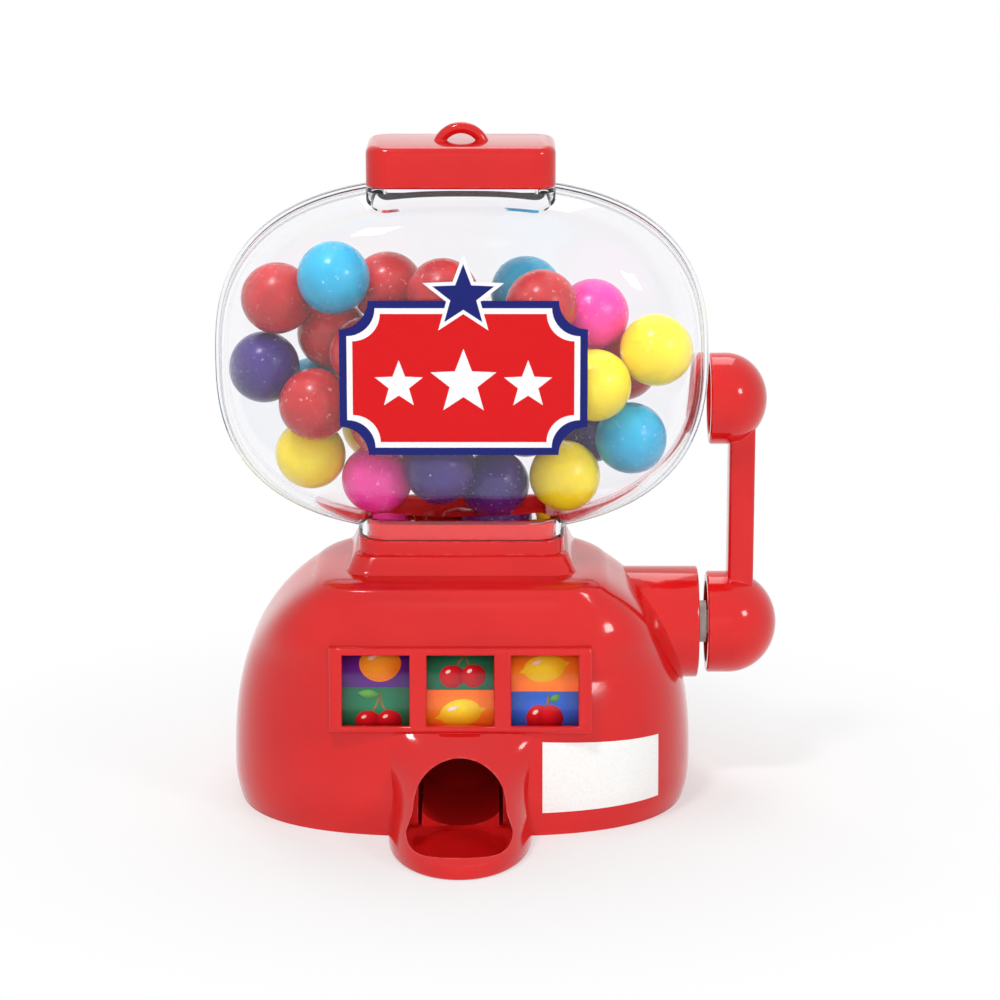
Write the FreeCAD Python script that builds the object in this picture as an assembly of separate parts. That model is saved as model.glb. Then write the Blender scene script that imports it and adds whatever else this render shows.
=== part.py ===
"""Toy gumball machine with a slot-machine base, in millimetres, +Z up, front towards -Y.

The origin is the middle of the bottom plate's underside. A clear two-shell globe stands on a red
housing. Pulling the side lever forward turns a drum that carries one gumball from the globe to the
tray, and a gear train that turns three picture reels behind the windows.
"""
import FreeCAD
import Part
import math
import os

V = FreeCAD.Vector
X_AXIS = V(1, 0, 0)
Y_AXIS = V(0, 1, 0)
Z_AXIS = V(0, 0, 1)

# Fits and contents
RUNNING_GAP = 0.08
SNUG_GAP = 0.04
CLEAR_GAP = 0.3
GUMBALL_D = 12.7
BALL_PLAY = 0.5
REACH = 80.0

# Housing: an oval dome that leans in towards its crown
BASE_BELLY_HALF_WIDTH = 41.0
BASE_BELLY_HALF_DEPTH = 34.5
BASE_CROWN_HALF_WIDTH = 22.0
BASE_CROWN_HALF_DEPTH = 18.0
BASE_BELLY_HEIGHT = 6.0
BASE_HEIGHT = 42.0
BASE_FOOT_TUCK = 1.0
BASE_WALL = 2.0
BASE_OVAL_POWER = 2.7
DOME_WIDTH_POWER = 2.6
DOME_DEPTH_POWER = 1.4
DOME_ROUND_POWER = 0.667
DOME_STATIONS = (0.0, 0.2, 0.4, 0.6, 0.75, 0.87, 0.95, 1.0)
OVAL_POINTS = 32

# Neck between housing and globe
NECK_FOOT_HALF_WIDTH = 20.2
NECK_FOOT_HALF_DEPTH = 15.2
NECK_STEP_HEIGHT = 45.0
NECK_COLLAR_HEIGHT = 2.5
NECK_STEP_HALF_WIDTH = 18.9
NECK_STEP_HALF_DEPTH = 13.6
NECK_TOP_HALF_WIDTH = 18.1
NECK_TOP_HALF_DEPTH = 12.7
NECK_CORNER = 4.0
NECK_SINK = 1.0
UPSTAND_HALF_WIDTH = 16.5
UPSTAND_HALF_DEPTH = 10.6
UPSTAND_HEIGHT = 2.6
UPSTAND_WALL = 1.5
UPSTAND_CORNER = 4.0

# Globe: two clear shells that meet at y = 0, with flat panels front and back
GLOBE_HALF_WIDTH = 43.1
GLOBE_HALF_HEIGHT = 31.3
GLOBE_HALF_DEPTH = 15.6
GLOBE_PANEL_HALF_WIDTH = 27.0
GLOBE_PANEL_HALF_HEIGHT = 19.0
GLOBE_OVAL_POWER = 2.6
GLOBE_WALL = 1.4
GLOBE_STATIONS = (0, 18, 36, 52, 66, 78, 90)
SEAM_PROUD = 0.7
SEAM_HALF_WIDTH = 0.9
FOOT_RING_HEIGHT = 3.6
FOOT_RING_WALL = 1.5
DECK_RISE = 0.6

# Lid and filling mouth
LID_HALF_WIDTH = 16.5
LID_HALF_DEPTH = 10.2
LID_HEIGHT = 7.2
LID_WALL = 1.6
LID_CORNER = 4.0
LID_TOP_ROUND = 1.4
MOUTH_WALL = 1.4
MOUTH_HEIGHT = 3.0
LOOP_WIDTH = 9.4
LOOP_WIRE_D = 2.0
LOOP_HEIGHT = 3.2

# Picture windows
WINDOW_PITCH = 14.6
WINDOW_WIDTH = 11.6
WINDOW_BOTTOM = 19.4
WINDOW_TOP = 31.6
WINDOW_FRAME_SIDE = 2.3
WINDOW_FRAME_FOOT = 1.2
WINDOW_FRAME_BROW = 1.4
WINDOW_FRAME_FACE = -31.05
WINDOW_FRAME_LEAN = 10.0
WINDOW_FRAME_PLATE = 2.0
WINDOW_CORNER = 0.6

# Reels
REEL_AXIS_Y = -20.4
REEL_AXIS_Z = 22.6
REEL_R = 8.05
REEL_WIDTH = 12.2
REEL_RIM = 1.1
REEL_WEB = 1.2
REEL_HUB_D = 6.4
REEL_HOLE_D = 2.2
REEL_AXLE_D = 3.0
STRIP_THICKNESS = 0.15
STRIP_WIDTH = 12.0
REEL_FACES = 6
STAR_R = 6.4
STAR_THICKNESS = 1.0
STAR_NOTCH_R = 1.3

# Lever, drive shaft and the drum that serves one gumball
LEVER_AXIS_Y = 4.0
LEVER_AXIS_Z = 28.4
LEVER_LENGTH = 41.4
HUB_D = 18.4
HUB_STRAIGHT = 4.0
HUB_LENGTH = 12.7
KNOB_D = 16.4
KNOB_STRAIGHT = 3.0
KNOB_LENGTH = 10.4
KNOB_POINTS = 8
BAR_THICKNESS = 4.6
BAR_WIDTH = 7.0
BAR_SET_BACK = 3.7
BAR_ROUND = 0.8
LEVER_WALL = 1.8
BOSS_D = 20.2
BOSS_PROUD = 1.6
BOSS_WALL = 2.0
BOSS_BEARING = 3.0
LEVER_GAP = 1.6
SHAFT_D = 5.0
SHAFT_COLLAR_D = 7.6
SHAFT_SQUARE = 3.4
SHAFT_TAIL = 6.0
DRUM_R = 9.0
DRUM_HALF_LENGTH = 9.6
DRUM_REST_TILT = 50.0
DRUM_SOCKET_D = 8.4
DRUM_SOCKET_LENGTH = 4.6

# Gear train from the drive shaft to the reel axle
GEAR_MODULE = 0.5
GEAR_PRESSURE_ANGLE = 25.0
GEAR_ADDENDUM = 0.8
GEAR_DEDENDUM = 1.15
GEAR_BACKLASH = 0.14
GEAR_WIDTH = 2.0
DRIVE_TEETH = 32
IDLER_TEETH = 29
PINION_TEETH = 12
IDLER_PIN_D = 2.4
GEAR_SIDE_GAP = 0.5

# Mechanism frame that stands on the bottom plate
FRAME_PLATE = 2.0
FRAME_SIDE_GAP = 0.6
FRAME_FRONT = -21.2
FRAME_BACK = 17.0
FRAME_SHOULDER = 23.2
FRAME_TOP = 32.5
FRAME_TOP_FRONT = -11.5
FRAME_SNAP_SLOT = 2.4
FRAME_TOP_BACK = 12.0
FRAME_FOOT_WIDTH = 6.0
FRAME_BAR_WIDTH = 1.6
FRAME_BAR_HEIGHT = 1.6
LEAF_THICKNESS = 0.4
LEAF_WIDTH = 0.8
LEAF_NOSE_R = 0.9

# Return spring on the drive shaft
SPRING_WIRE_D = 0.8
SPRING_D = 8.0
SPRING_PITCH = 1.3
SPRING_TURNS = 3
SPRING_BEND_R = 0.9
SPRING_SEAT = 1.5

# Hopper, chute and tray
HOPPER_PLATE = 1.6
HOPPER_WALL = 1.3
HOPPER_FUNNEL_DEPTH = 3.6
HOPPER_FUNNEL_FLARE = 1.4
THROAT_BOTTOM = 26.0
RAMP_WALL = 1.2
RAMP_HEIGHT = 11.0
RAMP_BACK = 11.0
RAMP_BACK_FLOOR = 4.0
RAMP_FRONT_Y = -13.5
RAMP_FRONT_LIP = 0.3
SNOUT_SET_BACK = 4.5
SNOUT_FOOT_HALF_WIDTH = 12.0
SNOUT_FOOT_REACH = 26.6
SNOUT_LIP_HEIGHT = 3.0
SNOUT_LIP_BULGE = 0.4
SNOUT_TOP = 18.2
SNOUT_TOP_HALF_WIDTH = 14.6
SNOUT_TOP_REACH = 6.4
TRAY_R = 8.2
TRAY_FRONT_REACH = 16.2
TRAY_BACK_REACH = 13.2
TRAY_FLOOR = 1.1
TUNNEL_R = 7.4

# Bottom plate and its fasteners
PLATE_THICKNESS = 1.2
PLATE_GAP = 0.25
POST_D = 6.0
POST_HEIGHT = 14.0
POST_FRONT_INSET = (9.5, 21.5)
POST_REAR_INSET = (14.0, 14.5)
FRAME_SCREW_X = 17.0
SCREW_D = 2.6
SCREW_HEAD_D = 4.6
SCREW_HEAD_HEIGHT = 1.0
SCREW_LENGTH = 8.0
SCREW_SLOT = 0.7

# Gumballs: colour, across, depth, height. They settle from these places.
GUMBALLS = (
    ("pink", -15.8, -1.5, 57), ("purple", -3.5, -7.5, 59), ("purple", 6.8, 0, 55.1), ("yellow", 18.6, -3.7, 57.4),
    ("yellow", -27, -0.5, 61), ("red", -13.5, -7.5, 67), ("red", 12.6, 3.7, 65.8), ("blue", 30.9, -3.7, 65.5),
    ("red", -25.5, -7.5, 71.8), ("yellow", 24.3, -7.5, 75.7), ("yellow", 34.6, -2.2, 81), ("purple", -34.9, -1.5, 77.8),
    ("red", -23.8, 3.7, 81.4), ("pink", 23.8, 3.2, 85.4), ("red", -32.3, -1.2, 90.2), ("red", -12.4, 1.2, 91.8),
    ("red", 13.9, -7.5, 90.5), ("blue", -22, -6.7, 95.2), ("red", 31, 6.4, 73.1), ("purple", 24.4, 6.4, 62.2),
    ("blue", -30.1, 6.3, 69.3), ("red", -4.3, 6.1, 56.9), ("yellow", -16.2, 7.5, 65.5), ("red", 0, 3, 68.5),
    ("red", 8, -7.5, 70), ("blue", -11, 3, 76.5), ("red", -3, -7.5, 76.5), ("purple", 8, 7.5, 75),
    ("red", -17, -7.5, 81.5), ("red", -1, 3, 84.5), ("blue", 11.5, 4.6, 88), ("red", -3, -7.5, 91.5),
)
BALL_GAP = 0.05
SETTLE_STEPS = 400
SETTLE_DROP = 0.014

# Places that follow from the sizes above
NECK_TOP = NECK_STEP_HEIGHT + NECK_COLLAR_HEIGHT
BOSS_END = BASE_BELLY_HALF_WIDTH + BOSS_PROUD
LEVER_FACE = BOSS_END + LEVER_GAP
SNOUT_CENTRE_Y = SNOUT_SET_BACK - BASE_BELLY_HALF_DEPTH
TRAY_FRONT_Y = SNOUT_CENTRE_Y - TRAY_FRONT_REACH
TRAY_BACK_Y = SNOUT_CENTRE_Y - TRAY_BACK_REACH
POST_FRONT_X = BASE_BELLY_HALF_WIDTH - POST_FRONT_INSET[0]
POST_FRONT_Y = POST_FRONT_INSET[1] - BASE_BELLY_HALF_DEPTH
POST_REAR_X = BASE_BELLY_HALF_WIDTH - POST_REAR_INSET[0]
POST_REAR_Y = BASE_BELLY_HALF_DEPTH - POST_REAR_INSET[1]
POST_PLACES = ((-POST_FRONT_X, POST_FRONT_Y), (POST_FRONT_X, POST_FRONT_Y),
               (-POST_REAR_X, POST_REAR_Y), (POST_REAR_X, POST_REAR_Y))
BALL_R = GUMBALL_D / 2
POCKET_R = BALL_R + BALL_PLAY
THROAT_R = BALL_R + 1.2 * BALL_PLAY
GLOBE_CENTRE_Z = NECK_TOP + GLOBE_HALF_HEIGHT - DECK_RISE
DECK_TOP = GLOBE_CENTRE_Z + GLOBE_HALF_HEIGHT
REEL_OUTER_R = REEL_R + STRIP_THICKNESS + 0.5 * SNUG_GAP
REEL_CENTRES = (-WINDOW_PITCH, 0.0, WINDOW_PITCH)
GEAR_LEFT = WINDOW_PITCH + REEL_WIDTH / 2 + GEAR_SIDE_GAP
GEAR_RIGHT = GEAR_LEFT + GEAR_WIDTH
FRAME_RIGHT = GEAR_RIGHT + FRAME_SIDE_GAP
FRAME_LEFT = -(WINDOW_PITCH + REEL_WIDTH / 2 + STAR_THICKNESS + FRAME_SIDE_GAP)
LEVER_AXIS = V(0, LEVER_AXIS_Y, LEVER_AXIS_Z)
REEL_AXIS = V(0, REEL_AXIS_Y, REEL_AXIS_Z)
COLOURS = ("red", "yellow", "blue", "pink", "purple")


# Shapes used by several pieces

def box(x0, x1, y0, y1, z0, z1):
    return Part.makeBox(x1 - x0, y1 - y0, z1 - z0, V(x0, y0, z0))


def rod_x(radius, x0, x1, axis):
    """A round bar along X about an axis point."""
    return Part.makeCylinder(radius, x1 - x0, V(x0, axis.y, axis.z), X_AXIS)


def square_x(side, x0, x1, axis):
    half = side / 2
    return box(x0, x1, axis.y - half, axis.y + half, axis.z - half, axis.z + half)


def oval_wire(half_u, half_v, power, place):
    """A closed superellipse; place(u, v) puts its points in space."""
    points = []
    for i in range(OVAL_POINTS):
        turn = 2 * math.pi * i / OVAL_POINTS
        c, s = math.cos(turn), math.sin(turn)
        u = half_u * math.copysign(abs(c) ** (2 / power), c)
        v = half_v * math.copysign(abs(s) ** (2 / power), s)
        points.append(place(u, v))
    curve = Part.BSplineCurve()
    curve.interpolate(Points=points, PeriodicFlag=True)
    return Part.Wire([curve.toShape()])


def round_rect_wire(half_x, half_y, corner, z):
    """A rectangle with round corners, centred on the Z axis."""
    edges = []
    ix, iy = half_x - corner, half_y - corner
    diagonal = corner * math.sqrt(0.5)
    corners = ((ix, iy, 1, 1), (-ix, iy, -1, 1), (-ix, -iy, -1, -1), (ix, -iy, 1, -1))
    for i, (cx, cy, sx, sy) in enumerate(corners):
        along_x = V(cx + sx * corner, cy, z)
        along_y = V(cx, cy + sy * corner, z)
        start, end = (along_x, along_y) if i % 2 == 0 else (along_y, along_x)
        edges.append(Part.Arc(start, V(cx + sx * diagonal, cy + sy * diagonal, z), end).toShape())
    closed = []
    for i, arc in enumerate(edges):
        following = edges[(i + 1) % len(edges)]
        closed.append(arc)
        closed.append(Part.LineSegment(arc.Vertexes[-1].Point, following.Vertexes[0].Point).toShape())
    return Part.Wire(closed)


def round_block(half_x, half_y, corner, z0, z1):
    return Part.Face(round_rect_wire(half_x, half_y, corner, z0)).extrude(V(0, 0, z1 - z0))


def fuse(first, *others):
    for other in others:
        first = first.fuse(other)
    return first.removeSplitter()


def carve(shape, tools):
    for tool in tools:
        shape = shape.cut(tool)
    return shape


def turned(shape, axis, degrees):
    """A copy turned about an X-parallel axis point."""
    copy = shape.copy()
    copy.rotate(axis, X_AXIS, degrees)
    return copy


# Housing

def dome_half(crown, belly, rise, power):
    return crown + (belly - crown) * (1 - rise ** power) ** DOME_ROUND_POWER


def dome(inset, foot):
    """The housing's outer form, drawn in by inset, with its lowest section at height foot."""
    crown_z = BASE_HEIGHT - inset
    sections = []
    foot_width = BASE_BELLY_HALF_WIDTH - BASE_FOOT_TUCK - inset
    foot_depth = BASE_BELLY_HALF_DEPTH - BASE_FOOT_TUCK - inset
    rows = [(foot, foot_width, foot_depth)]
    for rise in DOME_STATIONS:
        width = dome_half(BASE_CROWN_HALF_WIDTH, BASE_BELLY_HALF_WIDTH, rise, DOME_WIDTH_POWER) - inset
        depth = dome_half(BASE_CROWN_HALF_DEPTH, BASE_BELLY_HALF_DEPTH, rise, DOME_DEPTH_POWER) - inset
        rows.append((BASE_BELLY_HEIGHT + rise * (crown_z - BASE_BELLY_HEIGHT), width, depth))
    for z, width, depth in rows:
        sections.append(oval_wire(width, depth, BASE_OVAL_POWER, lambda u, v, z=z: V(u, v, z)))
    return Part.makeLoft(sections, True, False)


def neck():
    """The stepped collar that the globe stands on, with the upstand that enters the globe."""
    flare = Part.makeLoft([
        round_rect_wire(NECK_FOOT_HALF_WIDTH, NECK_FOOT_HALF_DEPTH, NECK_CORNER, BASE_HEIGHT - NECK_SINK),
        round_rect_wire(NECK_STEP_HALF_WIDTH, NECK_STEP_HALF_DEPTH, NECK_CORNER, NECK_STEP_HEIGHT),
    ], True, True)
    collar = round_block(NECK_TOP_HALF_WIDTH, NECK_TOP_HALF_DEPTH, NECK_CORNER, NECK_STEP_HEIGHT, NECK_TOP)
    upstand = round_block(UPSTAND_HALF_WIDTH, UPSTAND_HALF_DEPTH, UPSTAND_CORNER, NECK_TOP,
                          NECK_TOP + UPSTAND_HEIGHT)
    return fuse(flare, collar, upstand)


def hopper_seat():
    """The room in the neck for the hopper: its plate's recess above, its throat's hole below."""
    half_x = UPSTAND_HALF_WIDTH - UPSTAND_WALL
    half_y = UPSTAND_HALF_DEPTH - UPSTAND_WALL
    recess = round_block(half_x, half_y, UPSTAND_CORNER - UPSTAND_WALL, NECK_TOP - HOPPER_PLATE,
                         NECK_TOP + UPSTAND_HEIGHT + 1)
    hole = Part.makeCylinder(THROAT_R + HOPPER_WALL + CLEAR_GAP, BASE_HEIGHT, V(0, 0, THROAT_BOTTOM), Z_AXIS)
    return recess.fuse(hole)


def lean(shape):
    """Leans a piece of the window frame back about the frame's middle line."""
    middle = V(0, WINDOW_FRAME_FACE, (WINDOW_BOTTOM + WINDOW_TOP) / 2)
    copy = shape.copy()
    copy.rotate(middle, X_AXIS, -WINDOW_FRAME_LEAN)
    return copy


def window_frame():
    half = WINDOW_PITCH + WINDOW_WIDTH / 2 + WINDOW_FRAME_SIDE
    plate = box(-half, half, WINDOW_FRAME_FACE, REEL_AXIS_Y, WINDOW_BOTTOM - WINDOW_FRAME_FOOT,
                WINDOW_TOP + WINDOW_FRAME_BROW)
    front_edges = [e for e in plate.Edges if abs(e.CenterOfMass.y - WINDOW_FRAME_FACE) < 1e-6]
    return lean(plate.makeFillet(WINDOW_CORNER, front_edges))


def window_cuts():
    """The three openings, and the pocket behind them that clears the reels."""
    cuts = []
    for centre in REEL_CENTRES:
        cuts.append(lean(box(centre - WINDOW_WIDTH / 2, centre + WINDOW_WIDTH / 2, WINDOW_FRAME_FACE - 1,
                             REEL_AXIS_Y, WINDOW_BOTTOM, WINDOW_TOP)))
    half = WINDOW_PITCH + REEL_WIDTH / 2 + STAR_THICKNESS + CLEAR_GAP
    pocket = box(-half, half, WINDOW_FRAME_FACE + WINDOW_FRAME_PLATE, REEL_AXIS_Y,
                 WINDOW_BOTTOM, WINDOW_TOP)
    reel_half = WINDOW_PITCH + REEL_WIDTH / 2 + CLEAR_GAP
    reel_room = rod_x(REEL_OUTER_R + CLEAR_GAP, -reel_half, reel_half, REEL_AXIS)
    pinion_r = GEAR_MODULE * (PINION_TEETH / 2 + GEAR_ADDENDUM) + CLEAR_GAP
    pinion_room = rod_x(pinion_r, GEAR_LEFT - CLEAR_GAP, GEAR_RIGHT + CLEAR_GAP, REEL_AXIS)
    star_room = rod_x(STAR_R + CLEAR_GAP, -half, 0, REEL_AXIS)
    return cuts + [lean(pocket), reel_room, star_room, pinion_room]


def snout():
    """The nose below the windows: an oval foot that slopes back to the window frame."""
    rows = (
        (0.0, SNOUT_FOOT_HALF_WIDTH, SNOUT_FOOT_REACH),
        (SNOUT_LIP_HEIGHT, SNOUT_FOOT_HALF_WIDTH + SNOUT_LIP_BULGE, SNOUT_FOOT_REACH + SNOUT_LIP_BULGE),
        (SNOUT_TOP, SNOUT_TOP_HALF_WIDTH, SNOUT_TOP_REACH),
    )
    wires = []
    for z, half_width, reach in rows:
        wires.append(oval_wire(half_width, reach, 2.0, lambda u, v, z=z: V(u, SNOUT_CENTRE_Y + v, z)))
    foot = Part.makeLoft(wires[:2], True, True)
    slope = Part.makeLoft(wires[1:], True, True)
    return fuse(foot, slope)


def tray_cut():
    """The scoop that a served gumball stops in, and the tunnel that it arrives by."""
    centre_z = TRAY_FLOOR + TRAY_R
    scoops = []
    for y in (TRAY_FRONT_Y, TRAY_BACK_Y):
        scoops.append(Part.makeSphere(TRAY_R, V(0, y, centre_z)))
        scoops.append(Part.makeCylinder(TRAY_R, SNOUT_TOP, V(0, y, centre_z), Z_AXIS))
    length = TRAY_BACK_Y - TRAY_FRONT_Y
    scoops.append(Part.makeCylinder(TRAY_R, length, V(0, TRAY_FRONT_Y, centre_z), Y_AXIS))
    scoops.append(box(-TRAY_R, TRAY_R, TRAY_FRONT_Y, TRAY_BACK_Y, centre_z, centre_z + SNOUT_TOP))
    tunnel = Part.makeCylinder(TUNNEL_R, FRAME_FRONT - TRAY_BACK_Y, V(0, TRAY_BACK_Y, TRAY_FLOOR + TUNNEL_R),
                               Y_AXIS)
    return scoops + [tunnel]


def screw_posts():
    """Columns that the bottom screws bite into, each with a rib rooted in the housing's wall."""
    core = dome(BASE_WALL / 2, 0.0)
    posts = []
    for x, y in POST_PLACES:
        posts.append(Part.makeCylinder(POST_D / 2, POST_HEIGHT, V(x, y, PLATE_THICKNESS), Z_AXIS))
        outwards = math.copysign(BASE_BELLY_HALF_WIDTH, x)
        low, high = sorted((x, outwards))
        posts.append(box(low, high, y - 1, y + 1, PLATE_THICKNESS, PLATE_THICKNESS + POST_HEIGHT))
    return [post.common(core) for post in posts]


def base_shell():
    outer = dome(0.0, 0.0)
    inner = dome(BASE_WALL, -1.0)
    boss = rod_x(BOSS_D / 2, 0, BOSS_END, LEVER_AXIS)
    outside = fuse(outer, neck(), window_frame(), snout(), boss)
    boss_room = rod_x(BOSS_D / 2 - BOSS_WALL, 0, BOSS_END - BOSS_BEARING, LEVER_AXIS)
    shell = carve(outside, [inner, boss_room, hopper_seat()] + window_cuts() + tray_cut())
    shell = shell.cut(rod_x(SHAFT_D / 2 + RUNNING_GAP, 0, BOSS_END + 1, LEVER_AXIS))
    shell = fuse(shell, *screw_posts())
    pilots = [screw_at(x, y, SNUG_GAP) for x, y in POST_PLACES]
    return biggest(carve(shell, pilots))


def biggest(shape):
    return max(shape.Solids, key=lambda solid: solid.Volume)


# Bottom plate and screws

def screw_at(x, y, gap):
    """A countersunk screw driven up through the bottom plate, grown by gap."""
    head = Part.makeCone(SCREW_HEAD_D / 2 + gap, SCREW_D / 2 + gap, SCREW_HEAD_HEIGHT, V(x, y, 0), Z_AXIS)
    shank = Part.makeCylinder(SCREW_D / 2 + gap, SCREW_LENGTH + gap, V(x, y, 0), Z_AXIS)
    return fuse(head, shank)


def screws(places):
    made = []
    for x, y in places:
        half = SCREW_HEAD_D * 0.3
        slots = [box(x - half, x + half, y - SCREW_SLOT / 2, y + SCREW_SLOT / 2, -1, SCREW_HEAD_HEIGHT * 0.6),
                 box(x - SCREW_SLOT / 2, x + SCREW_SLOT / 2, y - half, y + half, -1, SCREW_HEAD_HEIGHT * 0.6)]
        made.append(carve(screw_at(x, y, 0.0), slots))
    return Part.makeCompound(made)


def frame_screw_places():
    y = FRAME_BACK - FRAME_FOOT_WIDTH / 2
    return ((-FRAME_SCREW_X, y), (FRAME_SCREW_X, y))


def bottom_plate():
    inset = BASE_WALL + PLATE_GAP + BASE_FOOT_TUCK
    edge = oval_wire(BASE_BELLY_HALF_WIDTH - inset, BASE_BELLY_HALF_DEPTH - inset, BASE_OVAL_POWER,
                     lambda u, v: V(u, v, 0))
    plate = Part.Face(edge).extrude(V(0, 0, PLATE_THICKNESS))
    holes = [screw_at(x, y, SNUG_GAP) for x, y in POST_PLACES + frame_screw_places()]
    return biggest(carve(plate, holes))


# Globe and lid

def globe_half_sizes(y, inset):
    """Half width and half height of the globe's section at depth y, drawn in by inset."""
    depth = GLOBE_HALF_DEPTH - inset
    share = math.sqrt(max(0.0, 1 - (y / depth) ** 2))
    width = GLOBE_PANEL_HALF_WIDTH + (GLOBE_HALF_WIDTH - inset - GLOBE_PANEL_HALF_WIDTH) * share
    height = GLOBE_PANEL_HALF_HEIGHT + (GLOBE_HALF_HEIGHT - inset - GLOBE_PANEL_HALF_HEIGHT) * share
    return width, height


def globe_oval(y, inset, grow=0.0):
    width, height = globe_half_sizes(y, inset)
    return oval_wire(width + grow, height + grow, GLOBE_OVAL_POWER,
                     lambda u, v: V(u, y, GLOBE_CENTRE_Z + v))


def globe_form(inset):
    depth = GLOBE_HALF_DEPTH - inset
    angles = [-a for a in reversed(GLOBE_STATIONS[1:])] + list(GLOBE_STATIONS)
    return Part.makeLoft([globe_oval(depth * math.sin(math.radians(a)), inset) for a in angles], True, False)


def mouth_sizes(grow):
    half_x = LID_HALF_WIDTH - LID_WALL - CLEAR_GAP + grow
    half_y = LID_HALF_DEPTH - LID_WALL - CLEAR_GAP + grow
    return half_x, half_y, LID_CORNER - LID_WALL - CLEAR_GAP + grow


def globe():
    """Both shells in one: the hollow form, its seam bead, foot ring, deck and filling mouth."""
    outer, inner = globe_form(0.0), globe_form(GLOBE_WALL)
    bead = Part.Face(globe_oval(0.0, 0.0, SEAM_PROUD)).extrude(V(0, 2 * SEAM_HALF_WIDTH, 0))
    bead.translate(V(0, -SEAM_HALF_WIDTH, 0))
    hole = (UPSTAND_HALF_WIDTH + CLEAR_GAP, UPSTAND_HALF_DEPTH + CLEAR_GAP, UPSTAND_CORNER + CLEAR_GAP)
    ring = round_block(*(size + FOOT_RING_WALL for size in hole), NECK_TOP, NECK_TOP + FOOT_RING_HEIGHT)
    deck = round_block(LID_HALF_WIDTH, LID_HALF_DEPTH, LID_CORNER, GLOBE_CENTRE_Z, DECK_TOP)
    mouth = round_block(*mouth_sizes(0.0), GLOBE_CENTRE_Z, DECK_TOP + MOUTH_HEIGHT)
    solid = fuse(outer, bead, ring, deck, mouth)
    below = box(-REACH, REACH, -REACH, REACH, 0, NECK_TOP)
    foot_hole = round_block(*hole, 0, GLOBE_CENTRE_Z)
    mouth_hole = round_block(*mouth_sizes(-MOUTH_WALL), GLOBE_CENTRE_Z, DECK_TOP + MOUTH_HEIGHT + 1)
    return carve(solid, [inner, below, foot_hole, mouth_hole])


def globe_shells():
    whole = globe()
    front = whole.common(box(-REACH, REACH, -REACH, 0, 0, 2 * REACH))
    rear = whole.common(box(-REACH, REACH, 0, REACH, 0, 2 * REACH))
    return biggest(front), biggest(rear)


def lid():
    top = DECK_TOP + LID_HEIGHT
    block = round_block(LID_HALF_WIDTH, LID_HALF_DEPTH, LID_CORNER, DECK_TOP, top)
    upper_edges = [e for e in block.Edges if abs(e.BoundBox.ZMin - top) < 1e-6]
    block = block.makeFillet(LID_TOP_ROUND, upper_edges)
    cavity = round_block(LID_HALF_WIDTH - LID_WALL, LID_HALF_DEPTH - LID_WALL, LID_CORNER - LID_WALL,
                         DECK_TOP - 1, top - LID_WALL)
    radius = (LOOP_WIDTH - LOOP_WIRE_D) / 2
    rise = LOOP_HEIGHT - LOOP_WIRE_D / 2
    arch = Part.Arc(V(-radius, 0, top), V(0, 0, top + rise), V(radius, 0, top)).toShape()
    start = V(-radius, 0, top)
    section = Part.Wire([Part.Circle(start, arch.tangentAt(arch.FirstParameter), LOOP_WIRE_D / 2).toShape()])
    loop = Part.Wire([arch]).makePipeShell([section], True, True)
    roots = [Part.makeCylinder(LOOP_WIRE_D / 2, LID_WALL, V(x, 0, top - LID_WALL / 2), Z_AXIS)
             for x in (-radius, radius)]
    return biggest(fuse(block.cut(cavity), loop, *roots))


# Hopper and chute

def hopper_funnel():
    """A plate in the neck whose funnel leads one gumball at a time down onto the drum."""
    half_x = UPSTAND_HALF_WIDTH - UPSTAND_WALL - CLEAR_GAP / 2
    half_y = UPSTAND_HALF_DEPTH - UPSTAND_WALL - CLEAR_GAP / 2
    plate_bottom = NECK_TOP - HOPPER_PLATE
    plate = round_block(half_x, half_y, UPSTAND_CORNER - UPSTAND_WALL, plate_bottom, NECK_TOP)
    tube = Part.makeCylinder(THROAT_R + HOPPER_WALL, plate_bottom - THROAT_BOTTOM + 1, V(0, 0, THROAT_BOTTOM),
                             Z_AXIS)
    bore = Part.makeCylinder(THROAT_R, BASE_HEIGHT, V(0, 0, THROAT_BOTTOM - 1), Z_AXIS)
    mouth = Part.makeCone(THROAT_R, THROAT_R + HOPPER_FUNNEL_FLARE, HOPPER_FUNNEL_DEPTH,
                          V(0, 0, NECK_TOP - HOPPER_FUNNEL_DEPTH), Z_AXIS)
    drum_room = rod_x(DRUM_R + CLEAR_GAP, -REACH, REACH, LEVER_AXIS)
    below_drum = box(-REACH, REACH, LEVER_AXIS_Y - DRUM_R / 2, REACH, 0, LEVER_AXIS_Z)
    return biggest(carve(fuse(plate, tube), [bore, mouth, drum_room, below_drum]))


def chute_ramp():
    """Two rails that lead the gumball forward under the reels, with a sloping floor where it lands."""
    half = TUNNEL_R - SNUG_GAP
    front = -(BASE_BELLY_HALF_DEPTH - BASE_FOOT_TUCK - BASE_WALL - CLEAR_GAP)
    back = RAMP_BACK - RAMP_WALL
    lip = PLATE_THICKNESS + RAMP_FRONT_LIP
    block = box(-half - RAMP_WALL, half + RAMP_WALL, front, RAMP_BACK, PLATE_THICKNESS, RAMP_HEIGHT)
    block = block.cut(box(-half, half, front - 1, RAMP_FRONT_Y, 0, REACH))
    room = slope_block(half, (RAMP_FRONT_Y - 1, lip), (back, RAMP_BACK_FLOOR), REACH)
    under = slope_block(half, (RAMP_FRONT_Y + REEL_R, lip - RAMP_WALL), (back, RAMP_BACK_FLOOR - RAMP_WALL), 0)
    return biggest(carve(block, [room, under]))


def slope_block(half, front, back, level):
    """A block across the chute between a sloping face and a level one."""
    points = [V(-half, *front), V(-half, *back), V(-half, back[0], level), V(-half, front[0], level)]
    return Part.Face(Part.makePolygon(points + points[:1])).extrude(V(2 * half, 0, 0))


# Gears

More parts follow.
